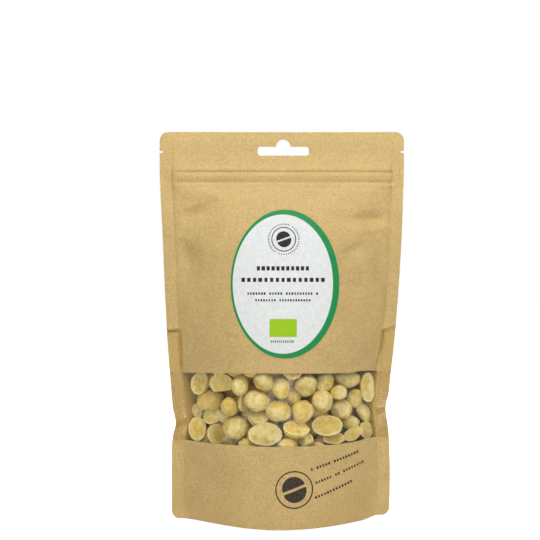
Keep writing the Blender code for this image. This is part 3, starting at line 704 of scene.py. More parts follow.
def coated_label_paper(sizes):
    """White semi-gloss sticker paper, faintly mottled, with a printed green rim, wider at the right."""
    looks = bpy.context.scene.pouch_looks
    made, tree, shader, _ = material("coated_label_paper")
    spot = add_node(tree, "ShaderNodeTexCoord").outputs["Object"]
    axes = add_node(tree, "ShaderNodeSeparateXYZ", Vector=spot)
    shares = []
    for axis, middle, half in (
        ("X", sizes.centre_x + sizes.print_shift, sizes.print_width / 2),
        ("Z", sizes.centre_z, sizes.print_height / 2),
    ):
        off = add_node(tree, "ShaderNodeMath", {"operation": "SUBTRACT"}, _0=axes.outputs[axis], _1=middle)
        part = add_node(tree, "ShaderNodeMath", {"operation": "DIVIDE"}, _0=off.outputs[0], _1=half)
        share = part.outputs[0]
        shares.append(add_node(tree, "ShaderNodeMath", {"operation": "MULTIPLY"}, _0=share, _1=share))
    total = add_node(
        tree, "ShaderNodeMath", {"operation": "ADD"}, _0=shares[0].outputs[0], _1=shares[1].outputs[0]
    )
    rim = add_node(tree, "ShaderNodeMapRange", Value=total.outputs[0], From_Min=0.997, From_Max=1.003)
    # Coated stock shows a faint cloudiness, 2 to 3 mm across.
    cloud = add_node(tree, "ShaderNodeTexNoise", Vector=spot, Scale=420.0, Detail=3.0, Roughness=0.6)
    white = add_node(
        tree, "ShaderNodeMix", {"data_type": "RGBA"}, _0=cloud.outputs["Fac"],
        _6=(*linear("#c1c4c1"), 1), _7=(*linear("#e1e3e2"), 1),
    )
    green = add_node(
        tree, "ShaderNodeMix", {"data_type": "RGBA"}, _0=cloud.outputs["Fac"],
        _6=(*[c * 0.93 for c in looks.rim], 1), _7=(*[min(1, c * 1.08) for c in looks.rim], 1),
    )
    both = add_node(
        tree, "ShaderNodeMix", {"data_type": "RGBA"},
        _0=rim.outputs["Result"], _6=white.outputs[2], _7=green.outputs[2],
    )
    bump = add_node(tree, "ShaderNodeBump", Height=cloud.outputs["Fac"], Strength=0.12, Distance=0.0002)
    plug(
        tree, shader, Base_Color=both.outputs[2], Roughness=0.48, Specular_IOR_Level=0.28,
        Normal=bump.outputs["Normal"],
    )
    return made


def ink(name, base, wear):
    """Flexographic ink of a linear colour: flat and matte, paler by wear where the paper took less of it."""
    if name in bpy.data.materials:
        return bpy.data.materials[name]
    made, tree, shader, _ = material(name)
    spot = add_node(tree, "ShaderNodeTexCoord").outputs["Object"]
    grain = add_node(tree, "ShaderNodeTexNoise", Vector=spot, Scale=900.0, Detail=3.0, Roughness=0.7)
    worn = tuple(c + wear for c in base)
    tone = add_node(tree, "ShaderNodeMapRange", Value=grain.outputs["Fac"], From_Min=0.48, From_Max=0.72)
    mix = add_node(
        tree, "ShaderNodeMix", {"data_type": "RGBA"}, _0=tone.outputs["Result"], _6=(*base, 1), _7=(*worn, 1)
    )
    plug(tree, shader, Base_Color=mix.outputs[2], Roughness=0.6, Specular_IOR_Level=0.25)
    return made


def dried_macadamia():
    """Dried macadamia: waxy cream with a deeper, more saturated lower half, which is partly the kernel's own
    two tones and partly painted shade, fine pores, a paler, duller cut face, and painted shade on the kernels
    that show in the gaps.
    """
    if "dried_macadamia" in bpy.data.materials:
        return bpy.data.materials["dried_macadamia"]
    looks = bpy.context.scene.pouch_looks
    made, tree, shader, _ = material("dried_macadamia")
    own = add_node(tree, "ShaderNodeAttribute", {"attribute_name": "kernel"}).outputs["Vector"]
    tone = add_node(tree, "ShaderNodeAttribute", {"attribute_name": "tone"}).outputs["Fac"]
    cut = add_node(tree, "ShaderNodeAttribute", {"attribute_name": "cut"}).outputs["Fac"]
    spot = add_node(tree, "ShaderNodeTexCoord").outputs["Object"]
    # Blotches are 3 to 5 mm across, pores 0.5 to 1 mm.
    blotch = add_node(tree, "ShaderNodeTexNoise", Vector=spot, Scale=280.0, Detail=3.0, Roughness=0.6)
    grain = add_node(tree, "ShaderNodeTexNoise", Vector=spot, Scale=1050.0, Detail=3.0, Roughness=0.7)
    pores = add_node(tree, "ShaderNodeMapRange", Value=grain.outputs["Fac"], From_Min=0.36, From_Max=0.60)
    patch = add_node(tree, "ShaderNodeMapRange", Value=blotch.outputs["Fac"], From_Min=0.34, From_Max=0.62)
    skin = add_node(
        tree, "ShaderNodeMix", {"data_type": "RGBA"}, _0=patch.outputs["Result"],
        _6=(*looks.kernel_deep, 1), _7=(*looks.kernel_pale, 1),
    )
    axes = add_node(tree, "ShaderNodeSeparateXYZ", Vector=own)
    ragged = add_node(
        tree, "ShaderNodeMath", {"operation": "MULTIPLY_ADD"},
        _0=blotch.outputs["Fac"], _1=0.2, _2=axes.outputs["Z"],
    )
    belt = add_node(tree, "ShaderNodeMapRange", Value=ragged.outputs[0], From_Min=0.06, From_Max=0.16)
    # One side of each kernel's seam is a deeper, more saturated copy of the skin: partly the kernel's own two
    # tones, partly painted shade.
    lower = add_node(
        tree, "ShaderNodeMix", {"data_type": "RGBA", "blend_type": "MULTIPLY"}, _0=1.0,
        _6=skin.outputs[2], _7=(0.91, 0.83, 0.56, 1),
    )
    coat = add_node(
        tree, "ShaderNodeMix", {"data_type": "RGBA"},
        _0=belt.outputs["Result"], _6=lower.outputs[2], _7=skin.outputs[2],
    )
    pit = tuple(c * 0.74 for c in looks.kernel_face)
    flesh = tuple(min(1, c * 1.08) for c in looks.kernel_face)
    face = add_node(
        tree, "ShaderNodeMix", {"data_type": "RGBA"}, _0=pores.outputs["Result"], _6=(*pit, 1), _7=(*flesh, 1)
    )
    both = add_node(
        tree, "ShaderNodeMix", {"data_type": "RGBA"}, _0=cut, _6=coat.outputs[2], _7=face.outputs[2]
    )
    # Kernels deep in the pouch, which show only in the gaps between those at the window, are painted warmer
    # and more saturated: painted shade of the gaps.
    browned = add_node(tree, "ShaderNodeAttribute", {"attribute_name": "browned"}).outputs["Fac"]
    deep = add_node(
        tree, "ShaderNodeMix", {"data_type": "RGBA", "blend_type": "MULTIPLY"}, _0=browned,
        _6=both.outputs[2], _7=(1.06, 0.94, 0.55, 1),
    )
    bright = add_node(tree, "ShaderNodeMapRange", Value=tone, To_Min=0.88, To_Max=1.06)
    last = add_node(
        tree, "ShaderNodeVectorMath", {"operation": "SCALE"},
        _0=deep.outputs[2], Scale=bright.outputs["Result"],
    )
    rough = add_node(tree, "ShaderNodeMapRange", Value=cut, To_Min=0.30, To_Max=0.58)
    height = add_node(
        tree, "ShaderNodeMath", {"operation": "MULTIPLY_ADD"},
        _0=pores.outputs["Result"], _1=0.3, _2=blotch.outputs["Fac"],
    )
    bump = add_node(tree, "ShaderNodeBump", Height=height.outputs[0], Strength=0.6, Distance=0.0008)
    # Oily flesh lets light in for 1 to 3 mm, red the farthest.
    plug(
        tree, shader, Base_Color=last.outputs["Vector"], Roughness=rough.outputs["Result"],
        Specular_IOR_Level=0.45, Subsurface_Weight=0.4, Subsurface_Radius=(0.0027, 0.0021, 0.0011),
        Subsurface_Scale=1.0, Normal=bump.outputs["Normal"],
    )
    return made


def moulded_polyethylene():
    """Extruded low-density polyethylene: milky, with faint lines along the strip."""
    made, tree, shader, _ = material("moulded_polyethylene")
    spot = add_node(tree, "ShaderNodeTexCoord").outputs["Object"]
    # Drawing lines lie 0.3 mm apart and run along the strip.
    bent = add_node(tree, "ShaderNodeMapping", Vector=spot, Scale=(40, 3000, 3000))
    lines = add_node(tree, "ShaderNodeTexNoise", Vector=bent.outputs["Vector"], Scale=1.0, Detail=1.0)
    tone = add_node(
        tree, "ShaderNodeMix", {"data_type": "RGBA"}, _0=lines.outputs["Fac"],
        _6=(*linear("#dcdcd6"), 1), _7=(*linear("#f1f1ec"), 1),
    )
    plug(tree, shader, Base_Color=tone.outputs[2], Roughness=0.4)
    return made


def white_board():
    """Seamless matte white board, which looks as bright as the wall behind it."""
    studio = bpy.context.scene.studio
    made, tree, shader, _ = material("white_board")
    seen = add_node(tree, "ShaderNodeLightPath").outputs["Is Camera Ray"]
    glow = add_node(tree, "ShaderNodeMath", {"operation": "MULTIPLY"}, _0=seen, _1=studio.board_glow)
    plug(
        tree, shader, Base_Color=(0.92, 0.92, 0.92, 1), Roughness=0.9,
        Emission_Color=(1, 1, 1, 1), Emission_Strength=glow.outputs[0],
    )
    return made


# Kernels ---------------------------------------------------------------------------------------------------


def turned(profile, segments):
    """A closed form from (radius, height) points that start and end on the axis."""
    verts = [(0, 0, profile[0][1])]
    for radius, height in profile[1:-1]:
        for i in range(segments):
            a = 2 * math.pi * i / segments
            verts.append((radius * math.cos(a), radius * math.sin(a), height))
    verts.append((0, 0, profile[-1][1]))
    last, rings, faces = len(verts) - 1, len(profile) - 2, []
    for i in range(segments):
        j = (i + 1) % segments
        faces.append((0, 1 + j, 1 + i))
        for ring in range(rings - 1):
            a, b = 1 + ring * segments, 1 + (ring + 1) * segments
            faces.append((a + i, a + j, b + j, b + i))
        top = 1 + (rings - 1) * segments
        faces.append((top + i, top + j, last))
    return np.array(verts, float), faces


def kernel_profile(kind, rings):
    """The outline of a kernel of radius 1, from its foot to its tip or to the middle of its cut face."""
    if kind == "whole":
        found = []
        for angle in np.linspace(-math.pi / 2, math.pi / 2, rings):
            r, z = math.cos(angle), math.sin(angle)
            z = z * 0.95 if z < 0 else z + 0.06 * max(z - 0.5, 0) / 0.5
            r *= 1 - 0.022 * float(ease((0.1 - z) / 0.07))
            found.append((r, z))
        return found
    # The rim of the cut face is slightly rounded, and the face is a shallow dish.
    angles = np.linspace(-math.pi / 2, math.radians(7), rings)
    dome = [(math.cos(a), (math.sin(a) + 0.4) / 0.6) for a in angles]
    rim = [(0.985, 0.95), (0.965, 1.0), (0.93, 1.0), (0.88, 0.965)]
    dish = [(r, 0.93 - 0.07 * (1 - r)) for r in np.linspace(0.8, 0.0, 7)]
    return dome + rim + dish


def kernel_mesh(name, kind, seed, chips, segments=48, rings=24):
    """One kernel of radius 1, its foot at -z: uneven, with flats, a seam where its halves meet, and chips."""
    random = np.random.default_rng(seed)
    verts, faces = turned(kernel_profile(kind, rings), segments)
    flat_face = np.zeros(len(verts))
    if kind == "half":
        from_axis = np.hypot(verts[:, 0], verts[:, 1])
        flat_face = ease((verts[:, 2] - 0.9) / 0.06) * ease((0.985 - from_axis) / 0.03)
    cut = flat_face.copy()
    seam = random.normal(size=3)
    seam /= np.linalg.norm(seam)
    across = verts @ seam
    shift = Vector(random.uniform(-40, 40, 3))
    lump = np.array([noise.fractal(Vector(p) * 0.8 + shift, 1.0, 2.0, 2) for p in verts])
    fine = np.array([noise.fractal(Vector(p) * 2.8 - shift, 1.0, 2.0, 3) for p in verts])
    across += 0.05 * fine
    if kind == "half":
        verts[:, :2] *= (1 + 0.08 * lump + 0.03 * fine)[:, None]
        verts[:, 2] += 0.06 * lump * (1 - flat_face) + (0.05 * fine + 0.05 * lump) * flat_face
    else:
        step = 0.016 * np.tanh(across / 0.03) - 0.03 * np.exp(-((across / 0.045) ** 2))
        verts *= (1 + 0.09 * lump + 0.028 * fine + step)[:, None]
    # Soft flats leave rounded edges; chips are deeper and bare the paler flesh.
    for spot in ["flat"] * (5 if kind == "whole" else 3) + ["chip"] * chips:
        normal = random.normal(size=3)
        if kind == "half":
            normal[2] *= 0.3
            normal[2] -= 0.15
        normal /= np.linalg.norm(normal)
        reach = random.uniform(0.86, 0.97) if spot == "flat" else random.uniform(0.66, 0.80)
        over = verts @ normal - reach
        press = 0.02 * np.logaddexp(0, over / 0.02)
        verts -= (press * (0.75 if spot == "flat" else 1.0))[:, None] * normal
        if spot == "chip":
            cut = np.maximum(cut, 0.75 * ease(over / 0.05))
    if not chips:
        verts /= np.abs(verts).max(0)
    own = np.stack([verts[:, 0], verts[:, 1], across], -1)
    mesh = bpy.data.meshes.new(name)
    mesh.from_pydata(verts.tolist(), [], faces)
    mesh.attributes.new("kernel", "FLOAT_VECTOR", "POINT").data.foreach_set("vector", own.ravel())
    mesh.attributes.new("cut", "FLOAT", "POINT").data.foreach_set("value", cut)
    tone = np.full(len(verts), random.uniform(0, 1))
    mesh.attributes.new("tone", "FLOAT", "POINT").data.foreach_set("value", tone)
    mesh.shade_smooth()
    return mesh


def kernel_place(row, middle_y):
    """Where a kernel of the table lies, as a matrix in metres."""
    _, x, z, wide, tall, thick, pan, tilt, roll, _ = row
    facing = Matrix.Rotation(math.pi / 2, 4, "X") @ Matrix.Rotation(math.radians(roll), 4, "Z")
    turn = Matrix.Rotation(math.radians(pan), 4, "Z") @ Matrix.Rotation(math.radians(-tilt), 4, "X")
    swell = SWELL[row[0]]
    size = Matrix.Diagonal((wide / 2 * MM * swell, tall / 2 * MM * swell, thick / 2 * MM * THICKER, 1))
    return Matrix.Translation((x * MM, middle_y, z * MM)) @ turn @ facing @ size


def named_kernels():
    """The table's rows with the names of the frame's nodes that they stand for."""
    counts, found = {"whole": 0, "half": 0}, []
    for row in KERNELS:
        counts[row[0]] += 1
        found.append((f"{row[0]}_nut_{counts[row[0]]:02d}", row))
    return found


def new_tree(name, *sockets):
    """A Geometry Nodes tree with a Geometry input, further inputs and a Geometry output, and its inputs."""
    tree = bpy.data.node_groups.new(name, "GeometryNodeTree")
    tree.interface.new_socket("Geometry", in_out="INPUT", socket_type="NodeSocketGeometry")
    for label, kind, value in sockets:
        socket = tree.interface.new_socket(label, in_out="INPUT", socket_type="NodeSocket" + kind)
        socket.default_value = value
    tree.interface.new_socket("Geometry", in_out="OUTPUT", socket_type="NodeSocketGeometry")
    return tree, add_node(tree, "NodeGroupInput").outputs


def spread_tree():
    """Points over a surface, some way inside it and a least distance apart, each with a size."""
    tree, given = new_tree(
        "spread", ("Spacing", "Float", 0.01), ("Inset", "Float", 0.006), ("Radius", "Float", 0.006),
        ("Seed", "Int", 0),
    )
    normal = add_node(tree, "GeometryNodeInputNormal").outputs["Normal"]
    inward = add_node(tree, "ShaderNodeMath", {"operation": "MULTIPLY"}, _0=given["Inset"], _1=-1.0)
    offset = add_node(
        tree, "ShaderNodeVectorMath", {"operation": "SCALE"}, _0=normal, Scale=inward.outputs[0]
    )
    shrunk = add_node(
        tree, "GeometryNodeSetPosition", Geometry=given["Geometry"], Offset=offset.outputs["Vector"]
    )
    points = add_node(
        tree, "GeometryNodeDistributePointsOnFaces", {"distribute_method": "POISSON"},
        Mesh=shrunk.outputs["Geometry"], Distance_Min=given["Spacing"], Density_Max=40000.0,
        Seed=given["Seed"],
    )
    vary = add_node(
        tree, "FunctionNodeRandomValue", {"data_type": "FLOAT"}, _2=0.80, _3=1.0, Seed=given["Seed"]
    )
    size = add_node(tree, "ShaderNodeMath", {"operation": "MULTIPLY"}, _0=vary.outputs[1], _1=given["Radius"])
    sized = add_node(
        tree, "GeometryNodeStoreNamedAttribute", {"data_type": "FLOAT", "domain": "POINT"},
        Geometry=points.outputs["Points"], Name="size", Value=size.outputs[0],
    )
    spots = add_node(tree, "GeometryNodePointsToVertices", Points=sized.outputs["Geometry"])
    add_node(tree, "NodeGroupOutput", Geometry=spots.outputs["Mesh"])
    return tree


def heap_tree(kernel, material):
    """A kernel at every point, of the point's size, each turned its own way, with its own tone and with the
    painted shade of the gaps.
    """
    tree, given = new_tree("heap", ("Seed", "Int", 0))
    turns = add_node(
        tree, "FunctionNodeRandomValue", {"data_type": "FLOAT_VECTOR"}, _1=(math.tau,) * 3, Seed=given["Seed"]
    )
    size = add_node(tree, "GeometryNodeInputNamedAttribute", {"data_type": "FLOAT"}, Name="size")
    source = add_node(tree, "GeometryNodeObjectInfo", Object=kernel)
    turned_by = add_node(tree, "FunctionNodeEulerToRotation", Euler=turns.outputs[0])
    placed = add_node(
        tree, "GeometryNodeInstanceOnPoints", Points=given["Geometry"], Instance=source.outputs["Geometry"],
        Rotation=turned_by.outputs["Rotation"], Scale=size.outputs["Attribute"],
    )
    tones = add_node(tree, "FunctionNodeRandomValue", {"data_type": "FLOAT"}, Seed=11)
    toned = add_node(
        tree, "GeometryNodeStoreNamedAttribute", {"data_type": "FLOAT", "domain": "INSTANCE"},
        Geometry=placed.outputs["Instances"], Name="tone", Value=tones.outputs[1],
    )
    # Every kernel of the heap is marked for the painted shade of the gaps.
    browned = add_node(
        tree, "GeometryNodeStoreNamedAttribute", {"data_type": "FLOAT", "domain": "INSTANCE"},
        Geometry=toned.outputs["Geometry"], Name="browned", Value=1.0,
    )
    real = add_node(tree, "GeometryNodeRealizeInstances", Geometry=browned.outputs["Geometry"])
    coated = add_node(tree, "GeometryNodeSetMaterial", Geometry=real.outputs["Geometry"], Material=material)
    add_node(tree, "NodeGroupOutput", Geometry=coated.outputs["Geometry"])
    return tree


def geometry_nodes(obj, tree, **values):
    """Adds a Geometry Nodes modifier and sets its inputs, found by name, through the sockets' identifiers."""
    modifier = obj.modifiers.new(tree.name, "NODES")
    modifier.node_group = tree
    for item in tree.interface.items_tree:
        if item.item_type == "SOCKET" and item.in_out == "INPUT" and item.name in values:
            modifier[item.identifier] = values[item.name]
    return modifier


def kernel_trees():
    """A search tree for each finished kernel at the window, with the box of its node in the frame."""
    found = []
    for obj in bpy.context.scene.objects:
        if "_kernel_" in obj.name:
            mesh = obj.data
            tree = BVHTree.FromPolygons([v.co for v in mesh.vertices], [p.vertices for p in mesh.polygons])
            found.append((tree, *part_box(obj.name.replace("kernel", "nut"))))
    return found


# Printing --------------------------------------------------------------------------------------------------


def marks_tree(material):
    """Small printed blocks set along a path, as a placeholder for a line of print or a dotted ring."""
    name = "marks_" + material.name
    if name in bpy.data.node_groups:
        return bpy.data.node_groups[name]
    tree, given = new_tree(
        name, ("Count", "Int", 10), ("Width", "Float", 0.001), ("Height", "Float", 0.001),
        ("Skip", "Float", 0.0), ("Seed", "Int", 1),
    )
    path = add_node(tree, "GeometryNodeMeshToCurve", Mesh=given["Geometry"])
    spots = add_node(tree, "GeometryNodeResampleCurve", Curve=path.outputs["Curve"], Count=given["Count"])
    along = add_node(tree, "GeometryNodeInputTangent").outputs["Tangent"]
    turn = add_node(tree, "FunctionNodeAlignRotationToVector", {"axis": "X"}, Vector=along)
    vary = add_node(
        tree, "FunctionNodeRandomValue", {"data_type": "FLOAT"}, _2=0.72, _3=1.0, Seed=given["Seed"]
    )
    width = add_node(tree, "ShaderNodeMath", {"operation": "MULTIPLY"}, _0=vary.outputs[1], _1=given["Width"])
    size = add_node(tree, "ShaderNodeCombineXYZ", X=width.outputs[0], Y=given["Height"], Z=1.0)
    block = add_node(tree, "GeometryNodeMeshGrid", Size_X=1.0, Size_Y=1.0, Vertices_X=3, Vertices_Y=3)
    gap = add_node(
        tree, "FunctionNodeRandomValue", {"data_type": "BOOLEAN"},
        Probability=given["Skip"], Seed=given["Seed"],
    )
    shown = add_node(tree, "FunctionNodeBooleanMath", {"operation": "NOT"}, _0=gap.outputs[3])
    placed = add_node(
        tree, "GeometryNodeInstanceOnPoints", Points=spots.outputs["Curve"], Instance=block.outputs["Mesh"],
        Selection=shown.outputs[0], Rotation=turn.outputs["Rotation"], Scale=size.outputs["Vector"],
    )
    real = add_node(tree, "GeometryNodeRealizeInstances", Geometry=placed.outputs["Instances"])
    inked = add_node(tree, "GeometryNodeSetMaterial", Geometry=real.outputs["Geometry"], Material=material)
    add_node(tree, "NodeGroupOutput", Geometry=inked.outputs["Geometry"])
    return tree


def line_path(x0, z0, x1, z1):
    """A straight path for marks."""
    mesh = bpy.data.meshes.new("path")
    mesh.from_pydata([(x0 * MM, z0 * MM, 0), (x1 * MM, z1 * MM, 0)], [(0, 1)], [])
    return mesh


def ring_path(x, z, radius, steps=64):
    """A round path for marks."""
    angles = [math.tau * i / steps for i in range(steps)]
    points = [((x + radius * math.cos(a)) * MM, (z + radius * math.sin(a)) * MM, 0) for a in angles]
    mesh = bpy.data.meshes.new("path")
    mesh.from_pydata(points, [(i, (i + 1) % steps) for i in range(steps)], [])
    return mesh


def marks(name, path, material, count, width, height, skip=0.0, seed=1):
    """A flat object of blocks set along a path, in the plane of x and height."""
    obj = new_object(name, path)
    geometry_nodes(
        obj, marks_tree(material), Count=count, Width=width * MM, Height=height * MM, Skip=skip, Seed=seed
    )
    return finished(obj)


def flat_disc(name, material, x, z, outer, inner=0.0, start=0.0, end=360.0, steps=64):
    """A flat disc, ring or part of one, in the plane of x and height."""
    bm = bmesh.new()
    count = max(2, round((outer - inner) / 1.2))
    angles = np.radians(np.linspace(start, end, steps + 1))
    rows = []
    for radius in np.linspace(inner, outer, count + 1):
        points = [((x + radius * math.cos(a)) * MM, (z + radius * math.sin(a)) * MM, 0) for a in angles]
        rows.append([bm.verts.new(point) for point in points])
    for near, far in zip(rows, rows[1:]):
        for i in range(steps):
            bm.faces.new((near[i], far[i], far[i + 1], near[i + 1]))
    bmesh.ops.remove_doubles(bm, verts=bm.verts, dist=1e-6)
    return new_object(name, mesh_of(bm, name), material)


def flat_patch(name, material, x, z, wide, tall):
    """A flat rectangle about x and z, in the plane of x and height."""
    bm = bmesh.new()
    bmesh.ops.create_grid(bm, x_segments=12, y_segments=8, size=0.5)
    place = Matrix.Translation((x * MM, z * MM, 0)) @ Matrix.Diagonal((wide * MM, tall * MM, 1, 1))
    bmesh.ops.transform(bm, matrix=place, verts=bm.verts)
    return new_object(name, mesh_of(bm, name), material)


def printed(name, flats, lift, slot):
    """Joins flat prints into one piece, bends it to the front and gives it the thickness of the ink."""
    s = shape()
    with bpy.context.temp_override(active_object=flats[0], selected_editable_objects=flats):
        bpy.ops.object.join()
    obj = flats[0]
    obj.name = obj.data.name = name
    mesh = obj.data
    flat = np.array([v.co for v in mesh.vertices]) / MM
    across, height = s.over(flat[:, 0], flat[:, 1])
    points = s.place(across, height, -1, lift + s.front_relief(flat[:, 0], height))
    mesh.vertices.foreach_set("co", (points * MM).ravel())
    mesh.update()
    for polygon in mesh.polygons:
        if polygon.normal.y > 0:
            polygon.flip()
    thicken(obj, INK_THICKNESS * MM)
    finished(obj)
    return piece(obj, slot)


# Settings --------------------------------------------------------------------------------------------------


def length(name, description, default):
    """A setting for a length, in metres."""
    return FloatProperty(
        name=name, description=description, default=default, min=0.0, unit="LENGTH", precision=4
    )


def tint(name, description, code):
    """A setting for a colour, given as sRGB hex."""
    return FloatVectorProperty(
        name=name, description=description, default=linear(code), size=3, min=0.0, max=1.0, subtype="COLOR"
    )


PAPER_LOW, PAPER_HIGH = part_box("back_paper")


class PouchSizes(PropertyGroup):
    """Sizes of the pouch itself"""

    flat_width: length("Flat width", "Width of the empty pouch", PAPER_HIGH.x - PAPER_LOW.x)
    height: length("Height", "Height of the filled, standing pouch", PAPER_HIGH.z)
    side_seal: length("Side seal", "Width of the sealed margin at each side", 0.008)
    corner_radius: length("Corner radius", "Radius of the pouch's four corners", 0.0058)
    window_bottom: length("Window bottom", "Height of the window's lower edge at the sides", 0.0525)
    window_top: length("Window top", "Height of the window's upper edge at the sides", 0.0957)
    overlap: length("Film overlap", "How far the film runs behind the paper", 0.008)
    paper: length("Paper", "Thickness of the laminate", 0.0003)
    film: length("Film", "Thickness of the window film", 0.0002)
    rumple: FloatProperty(
        name="Rumple", description="How strongly the sheets are creased", default=1.0, min=0.0
    )


class PouchLooks(PropertyGroup):
    """Colours of the pouch and the kernels, and the gloss of its film"""

    kraft: tint("Kraft", "Colour of the paper", "#bfa36a")
    rim: tint("Label rim", "Colour printed round the label", "#0c8042")
    patch: tint("Label patch", "Colour of the small patch on the label", "#8fb80a")
    kernel_pale: tint("Pale kernel", "Palest part of a kernel's skin", "#f3e5a4")
    kernel_deep: tint("Deep kernel", "Deepest part of a kernel's skin", "#dfc56a")
    kernel_face: tint("Cut face", "Cut face of a half kernel", "#efe1a6")
    film_gloss: FloatProperty(
        name="Film gloss", description="Share of light that each face of the film sends back",
        default=0.026, min=0.0, max=1.0,
    )


class LabelSizes(PropertyGroup):
    """Sizes and place of the oval sticker"""

    width: length("Width", "Width of the oval sticker", 0.0690)
    height: length("Height", "Height of the oval sticker", 0.0942)
    centre_x: FloatProperty(
        name="Across", description="Where its middle lies across", default=0.0019, unit="LENGTH"
    )
    centre_z: length("Up", "How high its middle lies", 0.1546)
    print_width: length("Print width", "Width of the white oval inside the rim", 0.0640)
    print_height: length("Print height", "Height of the white oval inside the rim", 0.0882)
    print_shift: FloatProperty(
        name="Print shift", description="How far the white oval is off the middle",
        default=-0.0014, unit="LENGTH",
    )


class PackingSizes(PropertyGroup):
    """How the kernels behind those at the window are packed"""

    spacing: length("Spacing", "Least distance between the packed kernels", 0.0108)
    radius: length("Radius", "Radius of the largest packed kernels", 0.0066)
    inset: length("Inset", "How far inside the heap's surface their middles lie", 0.0062)
    seed: IntProperty(name="Seed", description="Changes how the packed kernels lie", default=4)


class Studio(PropertyGroup):
    """Strength of the lights"""

    key: FloatProperty(
        name="Key light", description="Power of the softbox above", default=2.84, min=0.0, unit="POWER"
    )
    fill: FloatProperty(
        name="Fill", description="Strength of the light from all round", default=0.30, min=0.0
    )
    board_glow: FloatProperty(
        name="Board glow", description="Light that the board adds to its own look", default=0.8, min=0.0
    )


# Operators -------------------------------------------------------------------------------------------------


class POUCH_OT_kernels(Operator):
    """Makes the kernels that lie at the window"""

    bl_idname = "pouch.kernels"
    bl_label = "Kernels at the Window"

    def execute(self, context):
        coat = dried_macadamia()
        for seed, (name, row) in enumerate(named_kernels(), start=1):
            low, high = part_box(name)
            mesh = kernel_mesh(name.replace("nut", "kernel"), row[0], seed, row[9])
            mesh.transform(kernel_place(row, (low.y + high.y) / 2))
            mesh.transform(Matrix.Translation((0, self.step_back(mesh), 0)))
            obj = new_object(mesh.name, mesh, coat)
            if row[0] == "half" or row[9]:
                obj.data.set_sharp_from_angle(angle=math.radians(SHARP))
            piece(obj, "macadamia_kernel", name)
        return {"FINISHED"}

    def step_back(self, mesh):
        """How far a kernel moves back, in metres, to clear the film, while it still clears the back paper."""
        s = shape()
        spots = np.array([v.co for v in mesh.vertices]) / MM
        across, height = s.over(spots[:, 0], spots[:, 2])
        in_front = np.max(s.skin(across, height, -1)[:, 1] - spots[:, 1])
        behind = np.min(s.skin(across, height, 1)[:, 1] - spots[:, 1])
        return max(0.0, min(in_front + FILM_ROOM, behind - BACK_ROOM)) * MM


class POUCH_OT_packing(Operator):
    """Packs kernels behind those at the window"""

    bl_idname = "pouch.packing"
    bl_label = "Packed Kernels"

    def execute(self, context):
        sizes, coat = context.scene.packing_sizes, dried_macadamia()
        # These are hidden behind the rest, so a few dozen faces do for each.
        kernel = new_object("kernel", kernel_mesh("kernel", "whole", 77, 0, segments=12, rings=8))
        # The frame's mesh is loose triangles, so a copy of it is merged before points are spread over it.
        bm = bmesh.new()
        bm.from_mesh(frame["nodes"]["packed_nuts"].data)
        bmesh.ops.remove_doubles(bm, verts=bm.verts, dist=1e-5)
        obj = new_object("packed_kernels", mesh_of(bm, "packed_kernels"))
        geometry_nodes(
            obj, spread_tree(),
            Spacing=sizes.spacing, Inset=sizes.inset, Radius=sizes.radius, Seed=sizes.seed,
        )
        obj = finished(obj)
        self.keep_off_the_back(obj.data)
        geometry_nodes(obj, heap_tree(kernel, coat), Seed=sizes.seed)
        smooth(piece(finished(obj), "macadamia_kernel", "packed_nuts"))
        bpy.data.objects.remove(kernel)
        # These show in the gaps between the kernels at the window.
        kernel = new_object("kernel", kernel_mesh("kernel", "whole", 78, 0, segments=24, rings=14))
        points, radii = self.places_behind(sizes.seed)
        mesh = bpy.data.meshes.new("backing_kernels")
        mesh.from_pydata(points, [], [])
        mesh.attributes.new("size", "FLOAT", "POINT").data.foreach_set("value", radii)
        obj = new_object("backing_kernels", mesh)
        geometry_nodes(obj, heap_tree(kernel, coat), Seed=sizes.seed + 1)
        smooth(piece(finished(obj), "macadamia_kernel"))
        bpy.data.objects.remove(kernel)
        return {"FINISHED"}

    def keep_off_the_back(self, mesh):
        """Moves the middles of the kernels forward, to where the kernels clear the back paper."""
        s, size = shape(), mesh.attributes["size"].data
        # A kernel reaches less than 1.15 radii out, and 1.5 mm are left for the paper's relief.
        reach, relief, least_lean = 1.15, 1.5, 0.5
        for vert in mesh.vertices:
            across, height = s.over(vert.co.x / MM, vert.co.z / MM)
            lean = max(float(s.outward(across, height, 1)[1]), least_lean)
            room = (size[vert.index].value / MM * reach + relief) / lean
            vert.co.y = min(vert.co.y, float(s.bulge(across / s.inner, height) - room) * MM)

    def places_behind(self, seed):
        """Middles and radii, in metres, of kernels that fill the gaps behind those at the window."""
        s, trees, random = shape(), kernel_trees(), np.random.default_rng(seed)
        # They may sink about a fifth into each other and into the ones in front, where it doesn't show.
        step, rise, squeeze, dip = 9.2, 8.0, 0.80, 0.78
        rows = [(52 + rise * row, step / 2 * (row % 2)) for row in range(7)]
        spots = [(x + shift, z) for z, shift in rows for x in np.arange(-57.5, 50, step)]
        points, radii = [], []
        # Each starts in a staggered row, shaken by up to 1.5 mm, and lies as far forward as it has room.
        for x, z in random.permutation(np.array(spots)):
            x, z = x + random.uniform(-1.5, 1.5), z + random.uniform(-1.5, 1.5)
            x, radius = min(max(x, -53), 53), random.uniform(5.4, 7.2)
            across, height = s.over(x, z)
            deep = float(s.bulge(across / s.inner, height))
            while radius > 3.5 and deep < radius + 1.2:
                radius -= 0.25
            for y in np.arange(radius + 1.4 - deep, min(deep - radius - 2.5, 6), 0.5):
                at = Vector((x, y, z)) * MM
                touching = any((at - p).length < (radius * MM + r) * squeeze for p, r in zip(points, radii))
                gaps = (tree.find_nearest(at, 20 * MM)[3] or 1 for tree, _, _ in trees)
                if not touching and all(gap > radius * MM * dip for gap in gaps):
                    points.append(at)
                    radii.append(radius * MM)
                    break
        return points, radii


